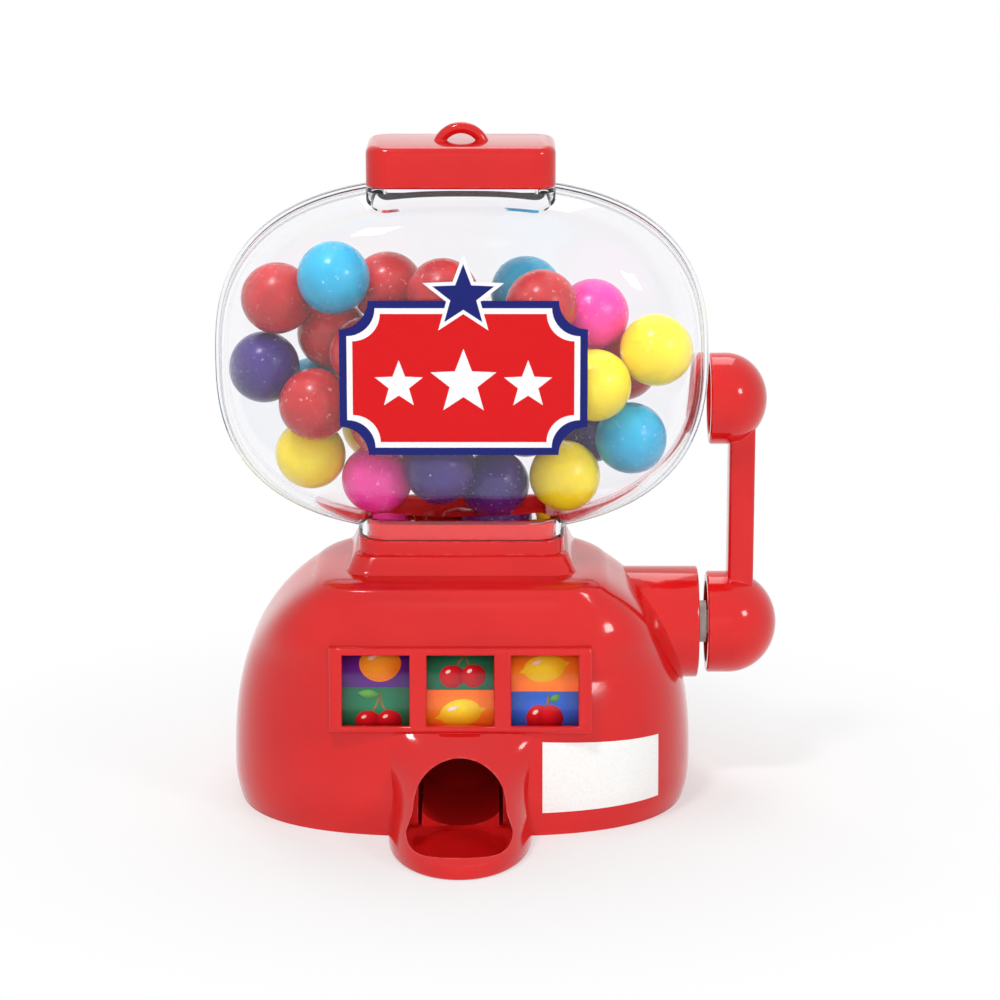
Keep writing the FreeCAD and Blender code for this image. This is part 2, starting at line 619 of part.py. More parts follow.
def involute(base_r, radius):
    """The involute's polar angle where it reaches radius."""
    roll = math.sqrt(max(0.0, (radius / base_r) ** 2 - 1))
    return roll - math.atan(roll)


def gear(teeth, phase, axis, bore_r):
    """A spur gear about an X-parallel axis, with a tooth centred at angle phase (from +Y towards +Z)."""
    pitch_r = GEAR_MODULE * teeth / 2
    base_r = pitch_r * math.cos(math.radians(GEAR_PRESSURE_ANGLE))
    tip_r = pitch_r + GEAR_ADDENDUM * GEAR_MODULE
    root_r = pitch_r - GEAR_DEDENDUM * GEAR_MODULE
    half_tooth = math.pi / (2 * teeth) - GEAR_BACKLASH / (2 * pitch_r)
    foot_r = max(base_r, root_r)
    radii = [foot_r + (tip_r - foot_r) * k / 3 for k in range(4)]

    def at(radius, angle):
        return V(GEAR_LEFT, axis.y + radius * math.cos(angle), axis.z + radius * math.sin(angle))

    def flank(centre, side):
        offsets = [half_tooth + involute(base_r, pitch_r) - involute(base_r, r) for r in radii]
        return [at(r, centre + side * offset) for r, offset in zip(radii, offsets)]

    edges = []
    first = last = None
    for k in range(teeth):
        centre = phase + 2 * math.pi * k / teeth
        rise, fall = flank(centre, -1), flank(centre, 1)
        foot_angle = half_tooth + involute(base_r, pitch_r) - involute(base_r, radii[0])
        root_in, root_out = at(root_r, centre - foot_angle), at(root_r, centre + foot_angle)
        if last is not None:
            middle = at(root_r, centre - math.pi / teeth)
            edges.append(Part.Arc(last, middle, root_in).toShape())
        else:
            first = root_in
        if foot_r > root_r:
            edges.append(Part.LineSegment(root_in, rise[0]).toShape())
        for points in (rise, None, fall):
            if points is None:
                edges.append(Part.Arc(rise[-1], at(tip_r, centre), fall[-1]).toShape())
                continue
            curve = Part.BSplineCurve()
            curve.interpolate(points if points is rise else list(reversed(points)))
            edges.append(curve.toShape())
        if foot_r > root_r:
            edges.append(Part.LineSegment(fall[0], root_out).toShape())
        last = root_out
    edges.append(Part.Arc(last, at(root_r, phase - math.pi / teeth), first).toShape())
    body = Part.Face(Part.Wire(edges)).extrude(V(GEAR_WIDTH, 0, 0))
    return body.cut(rod_x(bore_r, GEAR_LEFT - 1, GEAR_RIGHT + 1, axis))


def idler_axis():
    """Where the idler sits: in mesh with the drive gear and the reel pinion, on the lower side."""
    to_drive = GEAR_MODULE * (DRIVE_TEETH + IDLER_TEETH) / 2
    to_pinion = GEAR_MODULE * (IDLER_TEETH + PINION_TEETH) / 2
    span = REEL_AXIS.sub(LEVER_AXIS)
    along = (span.Length ** 2 + to_drive ** 2 - to_pinion ** 2) / (2 * span.Length)
    aside = math.sqrt(to_drive ** 2 - along ** 2)
    direction = V(span).normalize()
    downwards = V(0, -direction.z, direction.y)
    return LEVER_AXIS + direction * along + downwards * aside


def gear_phases():
    """Tooth phases that put the three gears in mesh at rest."""
    def bearing(a, b):
        return math.atan2(b.z - a.z, b.y - a.y)

    idler = idler_axis()
    drive_phase = bearing(LEVER_AXIS, idler)
    idler_phase = bearing(idler, LEVER_AXIS) + math.pi / IDLER_TEETH
    to_pinion = bearing(idler, REEL_AXIS)
    pitch = 2 * math.pi / IDLER_TEETH
    ahead = (idler_phase - to_pinion) % pitch
    pinion_gap = to_pinion + math.pi - ahead * IDLER_TEETH / PINION_TEETH
    return drive_phase, idler_phase, pinion_gap + math.pi / PINION_TEETH


# Reels

def reel(centre):
    """A hollow drum on a hub, with a notched star beside it that the leaf spring clicks into."""
    half = REEL_WIDTH / 2
    rim = rod_x(REEL_R, centre - half, centre + half, REEL_AXIS)
    room = rod_x(REEL_R - REEL_RIM, centre - half - 1, centre + half + 1, REEL_AXIS)
    web = rod_x(REEL_R - REEL_RIM / 2, centre - REEL_WEB / 2, centre + REEL_WEB / 2, REEL_AXIS)
    star_left = centre - half - STAR_THICKNESS
    hub = rod_x(REEL_HUB_D / 2, star_left, centre + half, REEL_AXIS)
    star = rod_x(STAR_R, star_left, centre - half, REEL_AXIS)
    notch = Part.makeCylinder(STAR_NOTCH_R, STAR_THICKNESS + 2,
                              V(star_left - 1, REEL_AXIS_Y + STAR_R, REEL_AXIS_Z), X_AXIS)
    hole_r = (REEL_HUB_D / 2 + REEL_R - REEL_RIM) / 2
    hole = Part.makeCylinder(REEL_HOLE_D / 2, REEL_WEB + 2,
                             V(centre - REEL_WEB, REEL_AXIS_Y, REEL_AXIS_Z + hole_r), X_AXIS)
    step = 360.0 / REEL_FACES
    star = carve(star, [turned(notch, REEL_AXIS, k * step) for k in range(REEL_FACES)])
    web = carve(web, [turned(hole, REEL_AXIS, (k + 0.5) * step) for k in range(REEL_FACES)])
    bore = rod_x(REEL_AXLE_D / 2 + RUNNING_GAP, centre - REEL_WIDTH, centre + REEL_WIDTH, REEL_AXIS)
    return biggest(fuse(rim.cut(room), web, hub, star).cut(bore))


def fruit_strip(centre):
    """The printed paper band round a reel."""
    inner = REEL_R + 0.5 * SNUG_GAP
    half = STRIP_WIDTH / 2
    band = rod_x(inner + STRIP_THICKNESS, centre - half, centre + half, REEL_AXIS)
    return band.cut(rod_x(inner, centre - half - 1, centre + half + 1, REEL_AXIS))


def reel_axle():
    reach = 0.5 * FRAME_PLATE
    return rod_x(REEL_AXLE_D / 2, FRAME_LEFT - reach, FRAME_RIGHT + reach, REEL_AXIS)


def detent_comb():
    """A leaf spring on the front of the frame's bar, one finger hanging behind each reel's star."""
    bar_front, bar_bottom, bar_top = frame_bar_place()
    front = bar_front - LEAF_THICKNESS
    nose_y = REEL_AXIS_Y + STAR_R
    pieces = [box(FRAME_LEFT, FRAME_RIGHT, front, bar_front, bar_bottom, bar_top)]
    for centre in REEL_CENTRES:
        middle = centre - REEL_WIDTH / 2 - STAR_THICKNESS / 2
        x0, x1 = middle - LEAF_WIDTH / 2, middle + LEAF_WIDTH / 2
        pieces.append(box(x0, x1, front, bar_front, REEL_AXIS_Z - LEAF_NOSE_R, bar_bottom))
        pieces.append(box(x0, x1, nose_y, front, REEL_AXIS_Z - LEAF_NOSE_R, REEL_AXIS_Z + LEAF_NOSE_R))
        pieces.append(rod_x(LEAF_NOSE_R, x0, x1, V(0, nose_y, REEL_AXIS_Z)))
    return biggest(fuse(*pieces))


# Lever and drive

def domed_knob(radius, straight, length, axis):
    """A round knob with a flat inner face and a domed outer end."""
    x0 = LEVER_FACE
    points = []
    for k in range(KNOB_POINTS + 1):
        turn = 0.5 * math.pi * k / KNOB_POINTS
        points.append(V(x0 + straight + (length - straight) * math.sin(turn), axis.y,
                        axis.z + radius * math.cos(turn)))
    near, far = points[0], points[-1]
    far.z = axis.z
    curve = Part.BSplineCurve()
    curve.interpolate(Points=points, InitialTangent=X_AXIS, FinalTangent=V(0, 0, -1))
    centre = V(x0, axis.y, axis.z)
    edge = V(x0, axis.y, near.z)
    outline = Part.Wire([
        Part.LineSegment(centre, edge).toShape(),
        Part.LineSegment(edge, near).toShape(),
        curve.toShape(),
        Part.LineSegment(far, centre).toShape()])
    return Part.Face(outline).revolve(V(x0, axis.y, axis.z), X_AXIS, 360)


def lever_arm():
    """One moulding: a hub on the shaft, a flat bar and a knob, hollow from the flat side."""
    knob_axis = LEVER_AXIS + V(0, 0, LEVER_LENGTH)
    hub = domed_knob(HUB_D / 2, HUB_STRAIGHT, HUB_LENGTH, LEVER_AXIS)
    knob = domed_knob(KNOB_D / 2, KNOB_STRAIGHT, KNOB_LENGTH, knob_axis)
    bar_x = LEVER_FACE + BAR_SET_BACK
    bar = box(bar_x, bar_x + BAR_THICKNESS, LEVER_AXIS_Y - BAR_WIDTH / 2, LEVER_AXIS_Y + BAR_WIDTH / 2,
              LEVER_AXIS_Z, LEVER_AXIS_Z + LEVER_LENGTH)
    bar = bar.makeFillet(BAR_ROUND, [e for e in bar.Edges if e.BoundBox.ZLength > LEVER_LENGTH / 2])
    hub_room = rod_x(HUB_D / 2 - LEVER_WALL, LEVER_FACE - 1, LEVER_FACE + HUB_STRAIGHT, LEVER_AXIS)
    knob_room = rod_x(KNOB_D / 2 - LEVER_WALL, LEVER_FACE - 1, LEVER_FACE + KNOB_STRAIGHT, knob_axis)
    socket = rod_x(SHAFT_COLLAR_D / 2, LEVER_FACE, LEVER_FACE + SHAFT_TAIL + LEVER_WALL, LEVER_AXIS)
    tail = square_x(SHAFT_SQUARE + 2 * SNUG_GAP, LEVER_FACE - 1, LEVER_FACE + SHAFT_TAIL + SNUG_GAP, LEVER_AXIS)
    hollow = carve(fuse(hub, bar, knob), [hub_room, knob_room])
    return biggest(fuse(hollow, socket).cut(tail))


def drive_shaft():
    """Square at both ends: one in the drum's socket, one in the lever's hub."""
    drum_end = DRUM_HALF_LENGTH + DRUM_SOCKET_LENGTH
    bar = rod_x(SHAFT_D / 2, drum_end + SNUG_GAP, LEVER_FACE - SNUG_GAP, LEVER_AXIS)
    inner = square_x(SHAFT_SQUARE, DRUM_HALF_LENGTH + SNUG_GAP, drum_end + 1, LEVER_AXIS)
    outer = square_x(SHAFT_SQUARE, LEVER_FACE - 1, LEVER_FACE + SHAFT_TAIL, LEVER_AXIS)
    collar = rod_x(SHAFT_COLLAR_D / 2, BOSS_END + CLEAR_GAP, LEVER_FACE - SNUG_GAP, LEVER_AXIS)
    seat_left, seat_right = spring_seat_span()
    seat = rod_x(SPRING_D / 2 + SPRING_WIRE_D, seat_left, seat_right, LEVER_AXIS)
    hole = spring_leg(seat_left - 1, seat_right + 1, SNUG_GAP, SPRING_TURNS, 1)
    return biggest(fuse(bar, inner, outer, collar, seat).cut(hole))


def dispensing_drum():
    """A drum whose pocket holds one gumball, turned by the shaft and carried at its left by a stub."""
    body = rod_x(DRUM_R, -DRUM_HALF_LENGTH, DRUM_HALF_LENGTH, LEVER_AXIS)
    stub = rod_x(SHAFT_D / 2, FRAME_LEFT - FRAME_PLATE, -DRUM_HALF_LENGTH, LEVER_AXIS)
    socket = rod_x(DRUM_SOCKET_D / 2, DRUM_HALF_LENGTH, DRUM_HALF_LENGTH + DRUM_SOCKET_LENGTH, LEVER_AXIS)
    square = square_x(SHAFT_SQUARE + 2 * SNUG_GAP, DRUM_HALF_LENGTH, DRUM_HALF_LENGTH + DRUM_SOCKET_LENGTH + 1,
                      LEVER_AXIS)
    return biggest(carve(fuse(body, stub, socket), [square, pocket()]))


def pocket_direction():
    tilt = math.radians(DRUM_REST_TILT)
    return V(0, -math.sin(tilt), math.cos(tilt))


def pocket_seat():
    """Where the middle of the gumball in the pocket is at rest."""
    return LEVER_AXIS + pocket_direction() * (DRUM_R - BALL_R)


def pocket():
    well = Part.makeCylinder(POCKET_R, REACH, pocket_seat(), pocket_direction())
    return well.fuse(Part.makeSphere(POCKET_R, pocket_seat()))


# Return spring

def spring_start():
    """Where the coil begins along the shaft, past its end's bend."""
    return FRAME_RIGHT + FRAME_PLATE + CLEAR_GAP + SPRING_BEND_R


def spring_length():
    return SPRING_TURNS * SPRING_PITCH


def spring_seat_span():
    left = spring_start() + spring_length() + SPRING_BEND_R + CLEAR_GAP
    return left, left + SPRING_SEAT


def spring_point(turns):
    angle = 2 * math.pi * turns
    return V(spring_start() + SPRING_PITCH * turns,
             LEVER_AXIS_Y + SPRING_D / 2 * math.cos(angle),
             LEVER_AXIS_Z + SPRING_D / 2 * math.sin(angle))


def spring_heading(turns):
    angle = 2 * math.pi * turns
    heading = V(SPRING_PITCH / (2 * math.pi),
                -SPRING_D / 2 * math.sin(angle),
                SPRING_D / 2 * math.cos(angle))
    return heading.normalize()


def spring_corner(turns, way):
    """Where the coil's end, led on straight, would meet the end that runs beside the shaft."""
    turn = spring_heading(turns).getAngle(X_AXIS)
    return spring_point(turns) + spring_heading(turns) * (way * SPRING_BEND_R * math.tan(turn / 2))


def spring_leg(x0, x1, gap, turns, way):
    """The straight end of the spring wire beside the shaft, or the hole for it."""
    corner = spring_corner(turns, way)
    return Part.makeCylinder(SPRING_WIRE_D / 2 + gap, x1 - x0, V(x0, corner.y, corner.z), X_AXIS)


def arc_from(start, heading, end):
    """The arc that leaves a point along a heading and reaches another point."""
    chord = end - start
    side = heading - chord * (heading.dot(chord) / chord.dot(chord))
    rise = chord.Length / 2 * math.tan(heading.getAngle(chord) / 2)
    middle = start + chord * 0.5 + side.normalize() * rise
    return Part.Arc(start, middle, end).toShape()


def biarc(start, heading, end, end_heading):
    """Two arcs that meet smoothly and follow a short stretch of the coil."""
    span = end - start
    spread = 2 * (1 - heading.dot(end_heading))
    along = span.dot(heading + end_heading)
    reach = (math.sqrt(along * along + spread * span.dot(span)) - along) / spread
    meet = (start + end + (heading - end_heading) * reach) * 0.5
    there = (end - end_heading * reach - meet).normalize()
    return [arc_from(start, heading, meet), arc_from(meet, there, end)]


def return_spring():
    """One wire: a coil round the shaft, with an end in the frame and an end in the shaft's seat."""
    last = SPRING_TURNS
    bend = spring_corner(0, -1).distanceToPoint(spring_point(0))
    left_end = spring_corner(0, -1) - X_AXIS * bend
    right_end = spring_corner(last, 1) + X_AXIS * bend
    left_tip = V(FRAME_RIGHT + FRAME_PLATE / 2, left_end.y, left_end.z)
    right_tip = V(spring_seat_span()[0] + SPRING_SEAT / 2, right_end.y, right_end.z)
    edges = [Part.makeLine(left_tip, left_end), arc_from(left_end, X_AXIS, spring_point(0))]
    for quarter in range(4 * last):
        begin = quarter / 4
        end = begin + 0.25
        edges += biarc(spring_point(begin), spring_heading(begin), spring_point(end), spring_heading(end))
    edges += [arc_from(spring_point(last), spring_heading(last), right_end), Part.makeLine(right_end, right_tip)]
    section = Part.Wire([Part.Circle(left_tip, X_AXIS, SPRING_WIRE_D / 2).toShape()])
    path = Part.Wire(edges)
    points = [spring_point(step / 40) for step in range(40 * last + 1)]
    nearest = min(p.distanceToPoint(q) for i, p in enumerate(points) for q in points[i + 20:])
    print("return spring's least gap to itself:", round(nearest - SPRING_WIRE_D, 2))
    wire = path.makePipeShell([section], True, False)
    full = math.pi * SPRING_WIRE_D ** 2 / 4 * path.Length
    print("return spring's volume against its section times its length:", round(wire.Volume / full, 3))
    return biggest(wire)


# Mechanism frame

def frame_bar_place():
    """Front, bottom and top of the bar that carries the leaf springs, clear above the idler."""
    front = REEL_AXIS_Y + REEL_OUTER_R + FRAME_BAR_WIDTH
    bottom = idler_axis().z + GEAR_MODULE * (IDLER_TEETH / 2 + GEAR_ADDENDUM) + CLEAR_GAP
    return front, bottom, bottom + FRAME_BAR_HEIGHT


def frame_side(x0):
    outline = [(FRAME_FRONT, PLATE_THICKNESS), (FRAME_BACK, PLATE_THICKNESS), (FRAME_BACK, FRAME_SHOULDER),
               (FRAME_TOP_BACK, FRAME_TOP), (FRAME_TOP_FRONT, FRAME_TOP), (FRAME_FRONT, FRAME_SHOULDER)]
    points = [V(x0, y, z) for y, z in outline]
    return Part.Face(Part.makePolygon(points + points[:1])).extrude(V(FRAME_PLATE, 0, 0))


def mechanism_frame():
    """Two side plates, a foot that screws to the bottom plate, and the leaf springs' bar."""
    left, right = frame_side(FRAME_LEFT - FRAME_PLATE), frame_side(FRAME_RIGHT)
    foot = box(FRAME_LEFT, FRAME_RIGHT, FRAME_BACK - FRAME_FOOT_WIDTH, FRAME_BACK, PLATE_THICKNESS,
               SCREW_LENGTH + 2 * SNUG_GAP)
    bar_front, bar_bottom, bar_top = frame_bar_place()
    bar = box(FRAME_LEFT, FRAME_RIGHT, bar_front, bar_front + FRAME_BAR_WIDTH, bar_bottom, bar_top)
    x0, x1 = FRAME_LEFT - FRAME_PLATE - 1, FRAME_RIGHT + FRAME_PLATE + 1
    bores = [rod_x(REEL_AXLE_D / 2 + RUNNING_GAP, x0, x1, REEL_AXIS),
             box(x0, x1, FRAME_FRONT - 1, REEL_AXIS_Y, REEL_AXIS_Z - FRAME_SNAP_SLOT / 2,
                 REEL_AXIS_Z + FRAME_SNAP_SLOT / 2),
             rod_x(SHAFT_D / 2 + RUNNING_GAP, x0, x1, LEVER_AXIS),
             rod_x(IDLER_PIN_D / 2 + SNUG_GAP, FRAME_RIGHT - 1, x1, idler_axis()),
             spring_leg(FRAME_RIGHT, x1, SNUG_GAP, 0, -1)]
    pilots = [screw_at(x, y, SNUG_GAP) for x, y in frame_screw_places()]
    return biggest(carve(fuse(left, right, foot, bar), bores + pilots))


def idler_pin():
    axis = idler_axis()
    return rod_x(IDLER_PIN_D / 2, GEAR_LEFT, FRAME_RIGHT + FRAME_PLATE, axis)


# Gumballs

def keep_in_globe(ball):
    """Moves a ball's middle back inside the globe's wall, and up off the rim of the neck's upstand."""
    inset = GLOBE_WALL + BALL_R + CLEAR_GAP
    x, y, z = ball
    depth = GLOBE_HALF_DEPTH - inset
    y = max(-depth, min(depth, y))
    for _ in range(3):
        width, height = globe_half_sizes(y, inset)
        u, v = x / width, (z - GLOBE_CENTRE_Z) / height
        size = (abs(u) ** GLOBE_OVAL_POWER + abs(v) ** GLOBE_OVAL_POWER) ** (1 / GLOBE_OVAL_POWER)
        if size <= 1:
            break
        slope_x = math.copysign(abs(u) ** (GLOBE_OVAL_POWER - 1), u) / width
        slope_z = math.copysign(abs(v) ** (GLOBE_OVAL_POWER - 1), v) / height
        steep = math.hypot(slope_x, slope_z)
        step = (size - 1) / steep * size ** (1 - GLOBE_OVAL_POWER) if steep else 0.0
        x -= step * slope_x / steep
        z -= step * slope_z / steep
        y -= 0.2 * step * math.copysign(1, y) * (abs(y) > 0.5 * depth)
    across = abs(x) - (UPSTAND_HALF_WIDTH - UPSTAND_WALL / 2)
    reach = BALL_R + UPSTAND_WALL / 2 + SNUG_GAP
    if abs(across) < reach:
        rim = NECK_TOP + UPSTAND_HEIGHT - UPSTAND_WALL / 2
        z = max(z, rim + math.sqrt(reach ** 2 - across ** 2))
    return [x, y, z]


def settle(places, fixed):
    """Lets the gumballs drop and push each other apart until they lie still."""
    balls = [list(place) for place in places]
    gap = GUMBALL_D + BALL_GAP
    for step in range(SETTLE_STEPS):
        drop = SETTLE_DROP * max(0.0, 1 - 1.5 * step / SETTLE_STEPS)
        for ball in balls:
            ball[2] -= drop
        for i, a in enumerate(balls):
            for b in balls[:i] + fixed:
                away = [p - q for p, q in zip(a, b)]
                distance = math.sqrt(sum(d * d for d in away))
                if distance < gap:
                    held = any(b is ball for ball in fixed)
                    push = (gap - distance) / max(distance, 1e-6) * (1.0 if held else 0.5)
                    for axis in range(3):
                        a[axis] += away[axis] * push
                        if not held:
                            b[axis] -= away[axis] * push
        for ball in balls:
            ball[:] = keep_in_globe(ball)
    return balls


def throat_seat():
    """Where the next gumball waits, on the drum's rim and against the throat's rear wall."""
    y = THROAT_R - BALL_R - BALL_PLAY
    rise = math.sqrt((DRUM_R + BALL_R + CLEAR_GAP) ** 2 - (y - LEVER_AXIS_Y) ** 2)
    return [0.0, y, LEVER_AXIS_Z + rise]


def gumball(place):
    return Part.makeSphere(BALL_R, V(*place))


def gumballs():
    """Every gumball in the globe and throat, as one group to a colour, and the one in the pocket."""
    throat = throat_seat()
    settled = settle([(x, y, z) for _, x, y, z in GUMBALLS], [throat])
    worst = min(math.dist(a, b) for i, a in enumerate(settled) for b in settled[:i] + [throat])
    print("closest gumball middles:", round(worst, 3), "of", GUMBALL_D)
    groups = {colour: [] for colour in COLOURS}
    for (colour, *_), place in zip(GUMBALLS, settled):
        groups[colour].append(gumball(place))
    groups["red"].append(gumball(throat))
    made = {"gumballs_" + colour: Part.makeCompound(balls) for colour, balls in groups.items()}
    made["gumball_in_pocket"] = gumball(pocket_seat())
    return made


# The whole assembly

def assembly():
    drive_phase, idler_phase, pinion_phase = gear_phases()
    front, rear = globe_shells()
    pieces = {
        "base_shell": base_shell(),
        "bottom_plate": bottom_plate(),
        "bottom_screws": screws(POST_PLACES),
        "frame_screws": screws(frame_screw_places()),
        "mechanism_frame": mechanism_frame(),
        "hopper_funnel": hopper_funnel(),
        "chute_ramp": chute_ramp(),
        "globe_front": front,
        "globe_rear": rear,
        "lid": lid(),
        "lever_arm": lever_arm(),
        "drive_shaft": drive_shaft(),
        "dispensing_drum": dispensing_drum(),
        "drive_gear": gear(DRIVE_TEETH, drive_phase, LEVER_AXIS, SHAFT_D / 2 + SNUG_GAP),
        "return_spring": return_spring(),
        "idler_gear": gear(IDLER_TEETH, idler_phase, idler_axis(), IDLER_PIN_D / 2 + RUNNING_GAP),
        "idler_pin": idler_pin(),
        "reel_axle": reel_axle(),
        "reel_pinion": gear(PINION_TEETH, pinion_phase, REEL_AXIS, REEL_AXLE_D / 2 + SNUG_GAP),
        "detent_comb": detent_comb(),
    }
    for side, centre in zip(("left", "middle", "right"), REEL_CENTRES):
        pieces["reel_" + side] = reel(centre)
        pieces["fruit_strip_" + side] = fruit_strip(centre)
    pieces.update(gumballs())
    return pieces


def main():
    os.makedirs("parts", exist_ok=True)
    for name, shape in assembly().items():
        if not shape.isValid():
            print("not valid:", name)
        shape.exportStep(os.path.join("parts", name + ".step"))


main()
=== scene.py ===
"""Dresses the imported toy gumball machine: its mouldings, clear globe, gumballs, printed reels and labels."""

import math

import bmesh
import bpy
from mathutils import Matrix, Vector


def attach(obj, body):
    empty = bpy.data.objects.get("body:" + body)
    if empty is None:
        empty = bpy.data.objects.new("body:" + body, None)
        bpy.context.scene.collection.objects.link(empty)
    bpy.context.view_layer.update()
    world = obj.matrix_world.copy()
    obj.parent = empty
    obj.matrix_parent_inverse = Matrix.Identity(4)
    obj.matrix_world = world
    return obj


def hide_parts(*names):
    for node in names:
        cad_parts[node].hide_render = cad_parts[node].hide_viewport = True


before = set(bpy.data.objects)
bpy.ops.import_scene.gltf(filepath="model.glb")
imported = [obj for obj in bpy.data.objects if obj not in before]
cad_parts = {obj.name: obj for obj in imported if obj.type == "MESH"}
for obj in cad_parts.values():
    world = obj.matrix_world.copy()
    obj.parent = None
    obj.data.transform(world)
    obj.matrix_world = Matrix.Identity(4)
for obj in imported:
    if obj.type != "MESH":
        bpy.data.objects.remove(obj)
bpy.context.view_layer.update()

# Sizes in millimetres, with heights from the table top and the front towards -Y
MM = 0.001
OVAL_STEPS = 144
ROUND_STEPS = 8
TURN_STEPS = 96
MERGE = 0.0005

# Dome and neck
BELLY = (41.0, 34.5)
CROWN = (22.0, 18.0)
CROWN_RINGS = ((20.6, 16.4), (18.4, 13.4))
BELLY_Z = 6.0
CROWN_Z = 42.0
FOOT_TUCK = 1.0
DOME_WALL = 2.0
DOME_POWER = 2.7
CROWN_POWER = 6.0
SQUARE_FROM = 0.56
SQUARE_SPAN = 0.4
DOME_RISE_POWERS = (2.6, 1.4)
DOME_ROUND = 0.667
SHOULDER = 1.3
SHOULDER_BLEND = 6
SIDE_SHOULDER = 0.2
FRONT_SHOULDER = 0.3
REAR_SHOULDER = 0.12
NECK_TOP = 47.5

# Window surround
FRAME_HALF = 22.7
FRAME_LOW = 18.2
FRAME_HIGH = 33.0
FRAME_FACE = -31.05
FRAME_MIDDLE = 25.5
FRAME_LEAN = math.radians(10)
FRAME_THICK = 2.0
FRAME_SKIRT = 11.5
FRAME_EDGE = 0.55
WINDOW_PITCH = 14.6
WINDOW_HALF = 5.8
WINDOW_LOW = 19.4
WINDOW_HIGH = 31.6
REEL_OPENING = (21.4, 19.0, 31.2)
FRONT_HALF_Y = -10.0
CUT_MARGIN = 4.0

# Nose, scoop and trough
NOSE_BACK = -30.5
NOSE_FRONT = -56.5
NOSE_SLOPE = 23.6
NOSE_HALF = 12.4
NOSE_WAIST = 0.9
NOSE_FLARE = 2.2
NOSE_FOOT_ROUND = 0.7
NOSE_EDGE = 2.6
NOSE_EDGE_ROUND = 1.1
NOSE_TOP = 18.2
NOSE_FULLNESS = (0.8, 1.8)
NOSE_SUNK = 0.25
NOSE_LIP = 0.7
NOSE_LIP_BACK = -34.5
NOSE_LIP_LOW = 1.5
NOSE_SLIVER = 0.03
SCOOP_FLOOR = 1.2
SCOOP_TOP = 15.3
SCOOP_SPRING = 8.2
SCOOP_HALF = 7.9
SCOOP_WIDER = 1.25
SCOOP_WIDER_BELOW = 8.6
BOWL_HALF = 9.2
BOWL_BACK = -36.0
BOWL_REACH = 18.9
BOWL_ROUND = 3.6
BOWL_FULLNESS = 0.18
SCOOP_OPENING = (BOWL_HALF + 0.4, 0.9, SCOOP_TOP + 1.0)
TROUGH_HALF = 6.7
TROUGH_FRONT = -31.6
TROUGH_LENGTH = 18.2
TROUGH_FLOOR = 1.3
TROUGH_RISE = 0.5
TROUGH_DEPTH = 4.2
TROUGH_ROUND = 7.2
TROUGH_UNDERSIDE = 1.22

# Globe and lid
GLOBE_HALF = (43.1, 31.3)
GLOBE_PANEL = (27.0, 19.0)
GLOBE_DEPTH = 15.6
GLOBE_POWER = 2.6
GLOBE_WALL = 1.4
GLOBE_Z = 78.2
SEAM_PROUD = 0.7
SEAM_HALF = 0.9
SEAM_GAP = 0.02
DECK_Z = 109.5
DECK_WALL = 0.9
FOOT_RING = (18.3, 12.4, 5.8)
FOOT_ROOM = (16.8, 10.9, 4.3)
MOUTH = (14.6, 8.3, 2.1)
MOUTH_ROOM = (13.2, 6.9, 0.7)
LID_HALF = (16.5, 10.2)
LID_TOP = 116.7
LID_CORNER = 4.0
LID_WALL = 1.6
LID_ROUND = 1.4
LOOP_WIRE = 1.0
LOOP_HALF = 3.7
LOOP_RISE = 2.2
LOOP_SUNK = 0.12

# Lever and its boss
LEVER_Y = 4.0
LEVER_Z = 28.4
LEVER_LENGTH = 41.4
LEVER_FACE = 44.2
LEVER_BAR = (47.9, 52.5)
LEVER_BAR_HALF = 3.5
LEVER_BAR_EDGE = 0.8
HUB = (9.2, 4.0, 12.7, 2.9)
KNOB = (8.2, 3.0, 10.4, 0.0)
KNOB_WALL = 1.8
BOSS_START = 26.0
BOSS_END = 42.6
BOSS_R = 10.1
BOSS_WALL = 2.0
BOSS_BORE = 2.6
BOSS_FLOOR = 3.0

# Gumballs, reels and stickers
BALL_R = 6.35
BALL_RIPPLE = 0.008
REEL_Y = -20.4
REEL_Z = 22.6
STRIP_R = 8.22
STRIP_WIDTH = 12.0
STRIP_THICK = 0.15
STRIP_SLICE = 0.51
PANELS = 6
INK_UNDER = 0.02
INK_PROUD = 0.012
INK_LAYER = 0.006
BADGE_MIDDLE = (0.5, 77.4)
LABEL_MIDDLE = (24.4, 10.15)
LABEL_HALF = (10.2, 5.75)
LABEL_TAPER = 0.35
LABEL_GAP = 0.12
LABEL_THICK = 0.1


# Colour and shader helpers

def paint(red, green, blue):
    """A colour written in 0 to 255 steps, as the shader takes it."""
    linear = []
    for part in (red, green, blue):
        share = part / 255
        linear.append(share / 12.92 if share <= 0.04045 else ((share + 0.055) / 1.055) ** 2.4)
    return (*linear, 1.0)


def link(tree, source, target):
    tree.links.new(source, target)


def add_node(tree, kind, **settings):
    node = tree.nodes.new(kind)
    for name, value in settings.items():
        setattr(node, name, value)
    return node


def feed(tree, value, socket):
    """Links a socket to an input, or sets the input where the value is a plain one."""
    if isinstance(value, bpy.types.NodeSocket):
        link(tree, value, socket)
    else:
        socket.default_value = value


def settle(tree, node, values):
    """Feeds the named inputs of a node."""
    for name, value in values.items():
        feed(tree, value, node.inputs[name])


def mix_colours(tree, share, first, second):
    node = add_node(tree, "ShaderNodeMix", data_type="RGBA")
    for number, value in ((0, share), (6, first), (7, second)):
        feed(tree, value, node.inputs[number])
    return node.outputs[2]


def calculate(tree, operation, *values):
    node = add_node(tree, "ShaderNodeMath", operation=operation)
    for value, socket in zip(values, node.inputs):
        feed(tree, value, socket)
    return node.outputs[0]


def remap(tree, value, low, high, to_low, to_high):
    node = add_node(tree, "ShaderNodeMapRange")
    link(tree, value, node.inputs[0])
    for socket, number in zip(node.inputs[1:5], (low, high, to_low, to_high)):
        socket.default_value = number
    return node.outputs[0]


